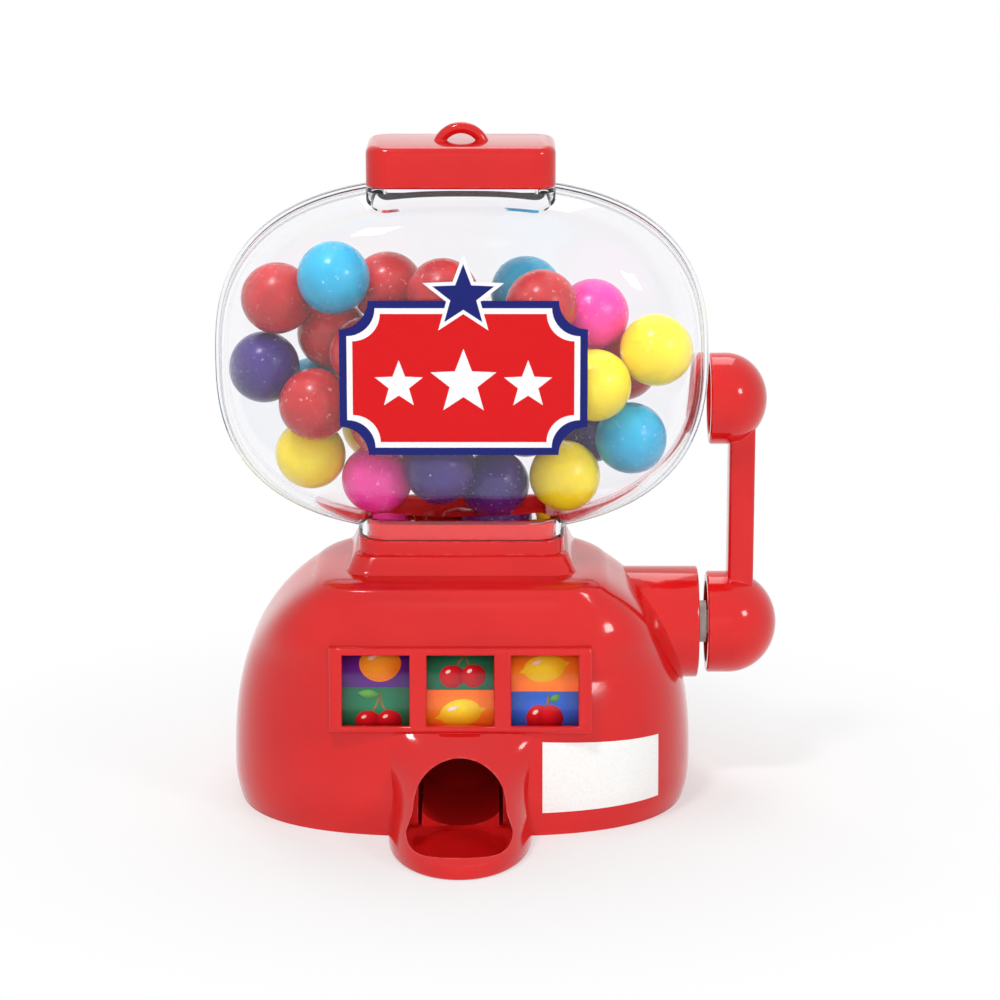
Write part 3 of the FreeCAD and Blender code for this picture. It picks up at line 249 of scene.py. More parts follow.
def noise(tree, place, scale, detail, roughness=0.5):
    node = add_node(tree, "ShaderNodeTexNoise")
    settle(tree, node, {"Vector": place, "Scale": scale, "Detail": detail, "Roughness": roughness})
    return node.outputs["Fac"]


def new_group(name, inputs, outputs):
    """An empty shader node group with named sockets, and its two end nodes."""
    tree = bpy.data.node_groups.new(name, "ShaderNodeTree")
    for socket, kind in inputs:
        tree.interface.new_socket(socket, in_out="INPUT", socket_type=kind)
    for socket, kind in outputs:
        tree.interface.new_socket(socket, in_out="OUTPUT", socket_type=kind)
    start = tree.nodes.new("NodeGroupInput")
    end = tree.nodes.new("NodeGroupOutput")
    return tree, start, end


def own_place(tree):
    """Where a point is on its own object."""
    return add_node(tree, "ShaderNodeTexCoord").outputs["Object"]


def handled_surface_group():
    """Tone, gloss and height of a handled moulding: flow marks, grain, hair scratches and rubbed edges."""
    tree, start, end = new_group(
        "handled_surface",
        (("Color", "NodeSocketColor"), ("Deep Color", "NodeSocketColor"), ("Gloss", "NodeSocketFloat"),
         ("Scratches", "NodeSocketFloat")),
        (("Color", "NodeSocketColor"), ("Roughness", "NodeSocketFloat"), ("Height", "NodeSocketFloat")))
    place = own_place(tree)
    flow = remap(tree, noise(tree, place, 45.0, 3.0), 0.35, 0.7, 0.0, 1.0)
    colour = mix_colours(tree, flow, start.outputs["Color"], start.outputs["Deep Color"])
    stretch = add_node(tree, "ShaderNodeMapping")
    settle(tree, stretch, {"Vector": place, "Rotation": (0.4, 0.2, 0.9), "Scale": (260.0, 2400.0, 900.0)})
    hair = remap(tree, noise(tree, stretch.outputs["Vector"], 1.0, 2.0), 0.62, 0.78, 0.0, 1.0)
    scuffs = calculate(tree, "MULTIPLY", hair, start.outputs["Scratches"])
    smudge = remap(tree, noise(tree, place, 120.0, 4.0, 0.6), 0.3, 0.8, 0.0, 0.08)
    smudged = calculate(tree, "ADD", start.outputs["Gloss"], smudge)
    worn = calculate(tree, "ADD", smudged, scuffs)
    rounded = add_node(tree, "ShaderNodeBevel", samples=4)
    rounded.inputs["Radius"].default_value = 0.0005
    facing = add_node(tree, "ShaderNodeVectorMath", operation="DOT_PRODUCT")
    link(tree, rounded.outputs["Normal"], facing.inputs[0])
    link(tree, add_node(tree, "ShaderNodeNewGeometry").outputs["Normal"], facing.inputs[1])
    edge = remap(tree, facing.outputs["Value"], 0.985, 0.85, 0.0, 0.4)
    patches = remap(tree, noise(tree, place, 650.0, 3.0), 0.42, 0.62, 0.0, 1.0)
    rubbed = calculate(tree, "MULTIPLY", edge, patches)
    pale = add_node(tree, "ShaderNodeHueSaturation")
    settle(tree, pale, {"Color": colour, "Saturation": 0.8, "Value": 1.2})
    grain = noise(tree, place, 1500.0, 2.0)
    settle(tree, end, {"Color": mix_colours(tree, rubbed, colour, pale.outputs["Color"]),
                       "Roughness": calculate(tree, "MULTIPLY_ADD", rubbed, 0.3, worn),
                       "Height": calculate(tree, "SUBTRACT", grain, scuffs)})
    return tree


def printed_ink_group():
    """Ink shaded from the middle of each printed shape to its edge, with a fine paper tooth."""
    tree, start, end = new_group(
        "printed_ink",
        (("Color", "NodeSocketColor"), ("Edge Color", "NodeSocketColor"), ("Middle", "NodeSocketVector")),
        (("Color", "NodeSocketColor"), ("Roughness", "NodeSocketFloat"), ("Height", "NodeSocketFloat")))
    coordinates = add_node(tree, "ShaderNodeTexCoord")
    distance = add_node(tree, "ShaderNodeVectorMath", operation="DISTANCE")
    link(tree, coordinates.outputs["UV"], distance.inputs[0])
    link(tree, start.outputs["Middle"], distance.inputs[1])
    share = remap(tree, distance.outputs["Value"], 0.25, 1.35, 0.0, 1.0)
    shaded = mix_colours(tree, share, start.outputs["Color"], start.outputs["Edge Color"])
    tooth = noise(tree, coordinates.outputs["Object"], 2600.0, 2.0)
    dark = add_node(tree, "ShaderNodeHueSaturation")
    settle(tree, dark, {"Color": shaded, "Value": 0.93})
    colour = mix_colours(tree, remap(tree, tooth, 0.4, 0.7, 0.0, 1.0), shaded, dark.outputs["Color"])
    roughness = remap(tree, tooth, 0.3, 0.7, 0.3, 0.42)
    settle(tree, end, {"Color": colour, "Roughness": roughness, "Height": tooth})
    return tree


HANDLED = handled_surface_group()
PRINTED = printed_ink_group()


def new_material(name):
    material = bpy.data.materials.new(name)
    material.use_nodes = True
    return material, material.node_tree, material.node_tree.nodes["Principled BSDF"]


def path_share(tree, *names):
    """1 for light paths of the named kinds."""
    paths = add_node(tree, "ShaderNodeLightPath")
    share = paths.outputs[names[0]]
    for name in names[1:]:
        share = calculate(tree, "MAXIMUM", share, paths.outputs[name])
    return share


def mix_shaders(tree, share, first, second, output):
    either = add_node(tree, "ShaderNodeMixShader")
    for source, socket in zip((share, first, second), either.inputs):
        link(tree, source, socket)
    link(tree, either.outputs[0], output.inputs["Surface"])


def bump(tree, height, shader, strength, distance):
    node = add_node(tree, "ShaderNodeBump")
    settle(tree, node, {"Height": height, "Strength": strength, "Distance": distance})
    link(tree, node.outputs["Normal"], shader.inputs["Normal"])


def moulded(name, colour, deep, gloss, scratches=0.05, coat=0.0, grain=0.12, metal=0.0, sheen=0.5):
    """A moulded or turned material on the handled surface group."""
    material, tree, shader = new_material(name)
    surface = add_node(tree, "ShaderNodeGroup", node_tree=HANDLED)
    settle(tree, surface, {"Color": colour, "Deep Color": deep, "Gloss": gloss, "Scratches": scratches})
    settle(tree, shader, {"Base Color": surface.outputs["Color"], "Roughness": surface.outputs["Roughness"],
                          "Metallic": metal, "Specular IOR Level": sheen, "Coat Weight": coat,
                          "Coat Roughness": 0.04})
    bump(tree, surface.outputs["Height"], shader, grain, 0.00004)
    return material


def printed(name, colour, edge, middle=(0.0, 0.0, 0.0), sheen=0.5):
    """Ink on paper; a lower sheen is for a matt sticker."""
    material, tree, shader = new_material(name)
    ink = add_node(tree, "ShaderNodeGroup", node_tree=PRINTED)
    settle(tree, ink, {"Color": colour, "Edge Color": edge, "Middle": middle})
    settle(tree, shader, {"Base Color": ink.outputs["Color"], "Roughness": ink.outputs["Roughness"],
                          "Specular IOR Level": sheen, "Coat Weight": 0.6 * sheen, "Coat Roughness": 0.15})
    bump(tree, ink.outputs["Height"], shader, 0.08, 0.00002)
    return material


def clear_shell(name):
    """Clear polystyrene that lets lamp light through to the gumballs."""
    material, tree, shader = new_material(name)
    place = own_place(tree)
    haze = remap(tree, noise(tree, place, 60.0, 4.0, 0.6), 0.35, 0.75, 0.0, 0.03)
    settle(tree, shader, {"Base Color": (0.972, 0.972, 0.988, 1.0), "Roughness": haze,
                          "Transmission Weight": 1.0, "IOR": 1.45})
    bump(tree, noise(tree, place, 90.0, 1.0), shader, 0.02, 0.0003)
    passing = add_node(tree, "ShaderNodeBsdfTransparent")
    passing.inputs["Color"].default_value = (0.96, 0.97, 0.98, 1.0)
    mix_shaders(tree, path_share(tree, "Is Shadow Ray"), shader.outputs[0], passing.outputs[0],
                tree.nodes["Material Output"])
    return material


def candy(name, colour, deep):
    """A sugar shell: polished, slightly mottled, with small pits where the shells rub."""
    material, tree, shader = new_material(name)
    place = own_place(tree)
    blotch = remap(tree, noise(tree, place, 220.0, 4.0, 0.65), 0.4, 0.72, 0.0, 1.0)
    speck = remap(tree, noise(tree, place, 1400.0, 2.0), 0.66, 0.74, 0.0, 0.35)
    mottled = mix_colours(tree, blotch, colour, deep)
    settle(tree, shader, {"Base Color": mix_colours(tree, speck, mottled, (0.9, 0.86, 0.84, 1.0)),
                          "Roughness": remap(tree, blotch, 0.0, 1.0, 0.2, 0.34),
                          "Subsurface Weight": 0.12, "Subsurface Radius": (0.0012, 0.0008, 0.0006),
                          "Subsurface Scale": 1.0, "Specular IOR Level": 0.35, "Coat Weight": 0.15,
                          "Coat Roughness": 0.12})
    bump(tree, noise(tree, place, 420.0, 3.0, 0.6), shader, 0.18, 0.00025)
    return material


RED = moulded("red_plastic", paint(218, 24, 24), paint(208, 17, 20), 0.09, 0.04, 0.2, sheen=0.32)
RED_MATT = moulded("red_plastic_inside", paint(214, 24, 24), paint(200, 17, 20), 0.5, 0.04)
BLACK = moulded("black_plastic", paint(24, 24, 26), paint(18, 18, 20), 0.32, 0.05)
WHITE = moulded("white_plastic", paint(226, 224, 218), paint(218, 215, 208), 0.3, 0.04)
STEEL = moulded("steel", paint(176, 178, 182), paint(158, 160, 165), 0.22, 0.2, metal=1.0)
CLEAR = clear_shell("clear_plastic")
PAPER = printed("label_paper", paint(246, 246, 244), paint(240, 240, 238))
CANDY_TONES = {
    "red": ((192, 22, 26), (172, 12, 20)),
    "yellow": ((246, 222, 32), (236, 206, 20)),
    "blue": ((26, 166, 204), (12, 148, 192)),
    "pink": ((240, 60, 160), (228, 40, 146)),
    "purple": ((58, 28, 116), (44, 18, 98)),
}
CANDY = {name: candy("gum_" + name, paint(*pale), paint(*deep)) for name, (pale, deep) in CANDY_TONES.items()}


# Mesh helpers, all in millimetres until a piece is finished

def oval_loop(bm, half_u, lower, upper, place):
    """A closed loop round a full-shouldered oval, whose lower and upper half have a (half_v, power) each."""
    verts = []
    for step in range(OVAL_STEPS):
        angle = 2 * math.pi * step / OVAL_STEPS
        along, across = math.cos(angle), math.sin(angle)
        half_v, power = lower if across < 0 else upper
        reach = (abs(along / half_u) ** power + abs(across / half_v) ** power) ** (-1 / power)
        verts.append(bm.verts.new(place(reach * along, reach * across)))
    return verts


def round_rect_loop(bm, half_x, half_y, corner, z):
    """A closed loop round a rectangle with round corners, at height z."""
    verts = []
    for index, (sign_x, sign_y) in enumerate(((1, 1), (-1, 1), (-1, -1), (1, -1))):
        for step in range(ROUND_STEPS + 1):
            angle = math.pi / 2 * (index + step / ROUND_STEPS)
            verts.append(bm.verts.new((sign_x * (half_x - corner) + corner * math.cos(angle),
                                       sign_y * (half_y - corner) + corner * math.sin(angle), z)))
    return verts


def skin(bm, loops, closed=False):
    """Joins each loop to the next with a band of quads, and the last to the first in a ring."""
    pairs = list(zip(loops, loops[1:]))
    if closed:
        pairs.append((loops[-1], loops[0]))
    for one, other in pairs:
        for i in range(len(one)):
            bm.faces.new((one[i - 1], one[i], other[i], other[i - 1]))


def solid_skin(bm, loops):
    skin(bm, loops)
    bm.faces.new(loops[0])
    bm.faces.new(loops[-1])


def turn_profile(bm, points, axis_point):
    """Spins a profile of (x, radius) points round a line along X."""
    _, y, z = axis_point
    verts = [bm.verts.new((x, y, z + radius)) for x, radius in points]
    edges = [bm.edges.new(pair) for pair in zip(verts, verts[1:])]
    bmesh.ops.spin(bm, geom=verts + edges, cent=axis_point, axis=(1, 0, 0), angle=2 * math.pi,
                   steps=TURN_STEPS, use_merge=True)
    bmesh.ops.remove_doubles(bm, verts=bm.verts, dist=MERGE)


def thicken(bm, faces, depth):
    """Draws faces out along Y; gives the moved points."""
    grown = bmesh.ops.extrude_face_region(bm, geom=faces)
    moved = [v for v in grown["geom"] if isinstance(v, bmesh.types.BMVert)]
    bmesh.ops.translate(bm, vec=(0, depth, 0), verts=moved)
    return moved


def raised_patch(bm, points, low, high):
    """A thin closed patch of ink or paper from depth low out to high; gives its faces."""
    verts = [bm.verts.new((u, low, v)) for u, v in points]
    moved = thicken(bm, [bm.faces.new(verts)], high - low)
    return {f for v in verts + moved for f in v.link_faces}


def soften(bm, edges, width, segments=3):
    bmesh.ops.bevel(bm, geom=edges, offset=width, offset_type="OFFSET", affect="EDGES", segments=segments,
                    profile=0.5, clamp_overlap=True, material=-1)


def tidy(bm):
    bmesh.ops.remove_doubles(bm, verts=bm.verts, dist=MERGE)
    bmesh.ops.recalc_face_normals(bm, faces=bm.faces)


def mesh_from(bm, name):
    mesh = bpy.data.meshes.new(name)
    bm.to_mesh(mesh)
    bm.free()
    return mesh


def put(name, data):
    """A new object in the scene."""
    item = bpy.data.objects.new(name, data)
    bpy.context.scene.collection.objects.link(item)
    return item


def combined(first, second, operation):
    """The solid that two closed meshes make together."""
    pair = []
    for bm in (first, second):
        tidy(bm)
        pair.append(put("shaping", mesh_from(bm, "shaping")))
    change = pair[0].modifiers.new("shape", "BOOLEAN")
    change.operation = operation
    change.solver = "EXACT"
    change.object = pair[1]
    graph = bpy.context.evaluated_depsgraph_get()
    shaped = bpy.data.meshes.new_from_object(pair[0].evaluated_get(graph))
    result = bmesh.new()
    result.from_mesh(shaped)
    for body in pair:
        mesh = body.data
        bpy.data.objects.remove(body)
        bpy.data.meshes.remove(mesh)
    bpy.data.meshes.remove(shaped)
    return result


def piece(name, bm, materials, body, replaced=(), crease=35):
    """Turns a mesh into a finished piece that rides on a body of the frame."""
    for face in bm.faces:
        face.smooth = True
    for edge in bm.edges:
        edge.smooth = len(edge.link_faces) == 2 and edge.calc_face_angle() < math.radians(crease)
    bmesh.ops.scale(bm, vec=(MM, MM, MM), verts=bm.verts)
    item = put(name, mesh_from(bm, name))
    for material in materials:
        item.data.materials.append(material)
    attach(item, body)
    if replaced:
        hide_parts(*replaced)
    return item


def add_wall(item, thickness):
    """Thickens a skin inwards."""
    wall = item.modifiers.new("wall", "SOLIDIFY")
    wall.thickness = thickness * MM
    wall.offset = -1


# Housing: dome, neck, window surround, nose and lever boss

def quarter_round(radius):
    """Steps in from the side and down from the top, along a rounded edge."""
    angles = [math.pi / 2 * step / 6 for step in range(7)]
    return [(radius * (1 - math.cos(angle)), radius * (1 - math.sin(angle))) for angle in angles]


def smooth_step(value):
    share = min(1.0, max(0.0, value))
    return share * share * (3 - 2 * share)


def dome_half(axis, rise, share):
    """Half width or half depth of the dome, with a tighter round where it turns into its flat crown."""
    slope = (1 - rise ** DOME_RISE_POWERS[axis]) ** DOME_ROUND
    below = max(0.0, 1 - (1 - rise) * (CROWN_Z - BELLY_Z) / SHOULDER)
    shoulder = share * math.sqrt(1 - below ** 2)
    both = slope ** SHOULDER_BLEND + shoulder ** SHOULDER_BLEND
    return CROWN[axis] + (BELLY[axis] - CROWN[axis]) * both ** (1 / SHOULDER_BLEND)


def dome_section(z):
    """Half width, front depth, rear depth and squareness of the front of the dome at a height."""
    if z < BELLY_Z:
        tuck = FOOT_TUCK * (1 - z / BELLY_Z) ** 2
        return BELLY[0] - tuck, BELLY[1] - tuck, BELLY[1] - tuck, DOME_POWER
    rise = min(1.0, (z - BELLY_Z) / (CROWN_Z - BELLY_Z))
    power = DOME_POWER + (CROWN_POWER - DOME_POWER) * smooth_step((rise - SQUARE_FROM) / SQUARE_SPAN)
    return (dome_half(0, rise, SIDE_SHOULDER), dome_half(1, rise, FRONT_SHOULDER),
            dome_half(1, rise, REAR_SHOULDER), power)


def dome_front(x, z):
    """Where the dome's front face is, at a place across and up."""
    width, depth, _, power = dome_section(z)
    return -depth * (1 - abs(x / width) ** power) ** (1 / power)


def dome_ring(bm, width, front, rear, power, z):
    """A level ring round the dome, squarer at the front than at the rear."""
    return oval_loop(bm, width, (front, power), (rear, DOME_POWER), lambda u, v: (u, v, z))


def front_opening(bm, half_x, low, high):
    """Cuts a clean rectangular hole through the front of a skin."""
    def faces_within(margin):
        middles = ((face, face.calc_center_median()) for face in bm.faces)
        return [face for face, middle in middles if middle.y < FRONT_HALF_Y
                and abs(middle.x) < half_x + margin and low - margin < middle.z < high + margin]

    for place, across in (((-half_x, 0, 0), (1, 0, 0)), ((half_x, 0, 0), (1, 0, 0)),
                          ((0, 0, low), (0, 0, 1)), ((0, 0, high), (0, 0, 1))):
        near = faces_within(CUT_MARGIN)
        edges = list({e for f in near for e in f.edges})
        verts = list({v for f in near for v in f.verts})
        bmesh.ops.bisect_plane(bm, geom=near + edges + verts, plane_co=place, plane_no=across)
    bmesh.ops.delete(bm, geom=faces_within(0), context="FACES")


def housing_dome():
    bm = bmesh.new()
    heights = [BELLY_Z * step / 6 for step in range(6)]
    heights += [BELLY_Z + (CROWN_Z - BELLY_Z) * (1 - (1 - step / 40) ** 2.2) for step in range(41)]
    loops = [dome_ring(bm, *dome_section(z), z) for z in heights]
    loops += [dome_ring(bm, width, depth, depth, CROWN_POWER, CROWN_Z) for width, depth in CROWN_RINGS]
    skin(bm, loops)
    tidy(bm)
    front_opening(bm, *REEL_OPENING)
    front_opening(bm, *SCOOP_OPENING)
    item = piece("housing_dome", bm, [RED], "machine", ["base_shell"])
    add_wall(item, DOME_WALL)


def housing_neck():
    """Flare, step, collar and the upstand that enters the globe, down to the throat's hole."""
    bm = bmesh.new()
    rows = ((20.5, 15.5, 4.2, 40.4), (20.5, 15.5, 4.2, 41.8), (20.35, 15.35, 4.1, 42.1),
            (20.1, 15.1, 4.0, 42.4), (19.85, 14.8, 4.0, 42.9), (19.05, 13.8, 4.0, 44.6),
            (18.88, 13.58, 4.0, 44.88), (18.6, 13.3, 4.0, 45.0), (18.3, 12.9, 4.0, 45.0),
            (18.12, 12.72, 4.0, 45.15), (18.1, 12.7, 4.0, 47.15), (18.0, 12.6, 3.9, 47.4),
            (17.75, 12.35, 3.7, NECK_TOP), (16.7, 10.8, 4.2, NECK_TOP), (16.5, 10.6, 4.0, 47.7),
            (16.5, 10.6, 4.0, 49.8), (16.35, 10.45, 3.85, 50.05), (16.1, 10.2, 3.6, 50.1),
            (15.2, 9.3, 2.7, 50.1), (15.0, 9.1, 2.5, 49.95), (15.0, 9.1, 2.5, 45.9),
            (8.6, 8.6, 8.59, 45.9), (8.6, 8.6, 8.59, 40.4))
    skin(bm, [round_rect_loop(bm, *row) for row in rows], closed=True)
    tidy(bm)
    piece("housing_neck", bm, [RED], "machine")


def leaned(bm):
    bmesh.ops.rotate(bm, cent=(0, FRAME_FACE, FRAME_MIDDLE), matrix=Matrix.Rotation(-FRAME_LEAN, 3, "X"),
                     verts=bm.verts)


def window_surround():
    """A deep tray turned to the front, with three openings whose edges are rounded."""
    bm = bmesh.new()
    columns = [-FRAME_HALF]
    for centre in (-WINDOW_PITCH, 0, WINDOW_PITCH):
        columns += [centre - WINDOW_HALF, centre + WINDOW_HALF]
    columns.append(FRAME_HALF)
    rows = (FRAME_LOW, WINDOW_LOW, WINDOW_HIGH, FRAME_HIGH)
    grid = [[bm.verts.new((x, FRAME_FACE, z)) for x in columns] for z in rows]
    windows = []
    for row in range(3):
        for column in range(7):
            face = bm.faces.new((grid[row][column], grid[row][column + 1],
                                 grid[row + 1][column + 1], grid[row + 1][column]))
            if row == 1 and column % 2:
                windows.append(face)
    bmesh.ops.delete(bm, geom=windows, context="FACES")
    bmesh.ops.recalc_face_normals(bm, faces=bm.faces)
    thicken(bm, list(bm.faces), FRAME_THICK)
    bmesh.ops.recalc_face_normals(bm, faces=bm.faces)
    skirt = [f for f in bm.faces if abs(f.normal.y) < 0.1 and (
        abs(abs(f.calc_center_median().x) - FRAME_HALF) < 0.01
        or min(abs(f.calc_center_median().z - FRAME_LOW), abs(f.calc_center_median().z - FRAME_HIGH)) < 0.01)]
    rim = {v for f in skirt for v in f.verts if v.co.y > FRAME_FACE + 1}
    for vert in rim:
        vert.co.y = FRAME_FACE + FRAME_SKIRT
    edges = [e for e in bm.edges if all(abs(v.co.y - FRAME_FACE) < 0.01 for v in e.verts)
             and len(e.link_faces) == 2 and e.calc_face_angle() > 0.5]
    soften(bm, edges, FRAME_EDGE)
    leaned(bm)
    tidy(bm)
    piece("window_surround", bm, [RED], "machine")


def scoop():
    """The room cut out of the nose: an arched way out that widens into a bowl with a full front."""
    bm = bmesh.new()
    loops = []
    for step in range(49):
        z = SCOOP_FLOOR + (SCOOP_TOP - SCOOP_FLOOR) * (1 - math.cos(math.pi * step / 48)) / 2
        below = max(0.0, 1 - (z - SCOOP_FLOOR) / BOWL_ROUND)
        inset = BOWL_ROUND * (1 - math.sqrt(1 - below ** 2))
        rise = max(0.0, (z - SCOOP_SPRING) / (SCOOP_TOP - SCOOP_SPRING))
        widened = SCOOP_HALF + SCOOP_WIDER * smooth_step((SCOOP_WIDER_BELOW - z) / 4)
        half = widened * math.sqrt(max(0.0016, 1 - rise ** 2)) - inset
        loop = [bm.verts.new((-half, NOSE_BACK + 10, z))]
        for turn in range(49):
            x = half * math.sin(math.pi * (turn / 48 - 0.5))
            fullness = (1 - (x / (BOWL_HALF - inset)) ** 2) ** BOWL_FULLNESS
            loop.append(bm.verts.new((x, BOWL_BACK - (BOWL_REACH - inset) * fullness, z)))
        loop.append(bm.verts.new((half, NOSE_BACK + 10, z)))
        loops.append(loop)
    solid_skin(bm, loops)
    return bm


def nose():
    """The snout: a slope that flares into the dome, full at its foot, with the scoop cut out of it."""
    bm = bmesh.new()
    heights = quarter_round(NOSE_FOOT_ROUND)
    for step in range(5):
        angle = math.pi / 6 * step / 4
        heights.append((NOSE_EDGE + NOSE_EDGE_ROUND * (2 * math.sin(angle) - 1),
                        NOSE_EDGE_ROUND * (1 - math.cos(angle))))
    heights += [(NOSE_EDGE + (NOSE_TOP - NOSE_EDGE) * step / 36, heights[-1][1]) for step in range(1, 37)]
    loops = []
    for z, inset in heights:
        share = max(0.0, (z - NOSE_EDGE) / (NOSE_TOP - NOSE_EDGE))
        half = NOSE_HALF - NOSE_WAIST * math.sin(math.pi * share) + NOSE_FLARE * share ** 2 - inset
        reach = NOSE_FRONT + inset + NOSE_SLOPE * share
        fullness = NOSE_FULLNESS[0] + NOSE_FULLNESS[1] * smooth_step((z - 4) / 12)
        loop = [bm.verts.new((-half, NOSE_BACK, z))]
        for turn in range(97):
            angle = math.pi * (turn / 96 - 0.5)
            x = half * math.sin(angle)
            proud = (reach - dome_front(0, z)) * max(0.0, math.cos(angle)) ** fullness
            loop.append(bm.verts.new((x, dome_front(x, z) + NOSE_SUNK + proud, z)))
        loop.append(bm.verts.new((half, NOSE_BACK, z)))
        loops.append(loop)
    solid_skin(bm, loops)
    scooped = combined(bm, scoop(), "DIFFERENCE")
    bmesh.ops.remove_doubles(scooped, verts=scooped.verts, dist=NOSE_SLIVER)
    lips = [e for e in scooped.edges if len(e.link_faces) == 2 and e.calc_face_angle() > 0.6
            and all(v.co.z > NOSE_LIP_LOW and v.co.y < NOSE_LIP_BACK for v in e.verts)]
    soften(scooped, lips, NOSE_LIP, 4)
    piece("nose", scooped, [RED], "machine")


def outlet_trough():
    """The trough that the gumball rolls along between the chute's end and the scoop."""
    bm = bmesh.new()
    loops = []
    for step in range(13):
        share = step / 12
        y, low = TROUGH_FRONT + TROUGH_LENGTH * share, TROUGH_FLOOR + TROUGH_RISE * share
        loop = []
        for turn in range(33):
            x = TROUGH_HALF * math.sin(math.pi * (turn / 32 - 0.5))
            bow = 1 - math.sqrt(1 - (x / TROUGH_ROUND) ** 2)
            loop.append(bm.verts.new((x, y, low + TROUGH_DEPTH * bow)))
        loop += [bm.verts.new((x, y, TROUGH_UNDERSIDE)) for x in (TROUGH_HALF, -TROUGH_HALF)]
        loops.append(loop)
    solid_skin(bm, loops)
    tidy(bm)
    piece("outlet_trough", bm, [RED_MATT], "machine")


def lever_boss():
    bm = bmesh.new()
    inner = BOSS_R - BOSS_WALL
    turn_profile(bm, ((BOSS_START, inner), (BOSS_START, BOSS_R), (BOSS_END - 0.4, BOSS_R),
                      (BOSS_END - 0.12, BOSS_R - 0.12), (BOSS_END, BOSS_R - 0.4), (BOSS_END, BOSS_BORE + 0.3),
                      (BOSS_END - 0.2, BOSS_BORE), (BOSS_END - BOSS_FLOOR, BOSS_BORE),
                      (BOSS_END - BOSS_FLOOR, inner), (BOSS_START, inner)), (0, LEVER_Y, LEVER_Z))
    tidy(bm)
    piece("lever_boss", bm, [RED], "machine")


# Globe and lid

def globe_half(axis, y, inset):
    share = math.sqrt(max(0.0, 1 - (y / (GLOBE_DEPTH - inset)) ** 2))
    return GLOBE_PANEL[axis] + (GLOBE_HALF[axis] - inset - GLOBE_PANEL[axis]) * share


def globe_loop(bm, half_x, half_z, y):
    half = (half_z, GLOBE_POWER)
    return oval_loop(bm, half_x, half, half, lambda u, v: (u, y, GLOBE_Z + v))


def globe_form(inset, seam):
    """A closed form of the globe, drawn in by inset, with the seam's bead where asked."""
    bm = bmesh.new()
    angles = [math.radians(90 * step / 18) for step in range(-18, 19)]
    rows = [((GLOBE_DEPTH - inset) * math.sin(angle), 0.0) for angle in angles]
    if seam:
        rows = [row for row in rows if abs(row[0]) > SEAM_HALF]
        for y, proud in ((SEAM_HALF, 0.0), (SEAM_HALF, SEAM_PROUD * 0.8), (SEAM_HALF * 0.8, SEAM_PROUD)):
            rows += [(y, proud), (-y, proud)]
        rows.sort(key=lambda row: (row[0], row[1] if row[0] < 0 else -row[1]))
    loops = [globe_loop(bm, globe_half(0, y, inset) + proud, globe_half(1, y, inset) + proud, y)
             for y, proud in rows]
    for end in (-1, 1):
        rings = [globe_loop(bm, GLOBE_PANEL[0] * share, GLOBE_PANEL[1] * share, end * (GLOBE_DEPTH - inset))
                 for share in (0.985, 0.93, 0.75, 0.5, 0.25)]
        loops = rings[::-1] + loops if end < 0 else loops + rings
    solid_skin(bm, loops)
    return bm


def round_block(half_x, half_y, corner, low, high):
    bm = bmesh.new()
    solid_skin(bm, [round_rect_loop(bm, half_x, half_y, corner, z) for z in (low, high)])
    return bm


def plain_box(low, high):
    bm = bmesh.new()
    bmesh.ops.create_cube(bm, size=1.0)
    bmesh.ops.scale(bm, vec=[b - a for a, b in zip(low, high)], verts=bm.verts)
    bmesh.ops.translate(bm, vec=[(a + b) / 2 for a, b in zip(low, high)], verts=bm.verts)
    return bm


def globe_shells():
    """The two clear half shells, with seam, foot ring, deck and filling mouth."""
    solid = globe_form(0.0, True)
    foot = round_block(*FOOT_RING, NECK_TOP - 0.2, 51.1)
    deck = round_block(*LID_HALF, LID_CORNER, 101.0, DECK_Z)
    mouth = round_block(*MOUTH, 103.0, DECK_Z + 3.0)
    for block in (foot, deck, mouth):
        solid = combined(solid, block, "UNION")
    room = globe_form(GLOBE_WALL, False)
    foot_room = round_block(*FOOT_ROOM, 40.0, 56.0)
    mouth_room = round_block(*MOUTH_ROOM, 102.0, 120.0)
    deck_room = round_block(LID_HALF[0] - DECK_WALL, LID_HALF[1] - DECK_WALL, LID_CORNER - DECK_WALL, 100.0,
                            DECK_Z - DECK_WALL)
    below = plain_box((-60, -60, 30), (60, 60, NECK_TOP))
    for block in (foot_room, mouth_room, deck_room, below):
        room = combined(room, block, "UNION")
    solid = combined(solid, room, "DIFFERENCE")
    for name, low, high in (("globe_front_shell", -60, -SEAM_GAP), ("globe_rear_shell", SEAM_GAP, 60)):
        half = combined(solid.copy(), plain_box((-70, low, 20), (70, high, 140)), "INTERSECT")
        node = name.removesuffix("_shell")
        piece(name, half, [CLEAR], "machine", [node], crease=28)
    solid.free()


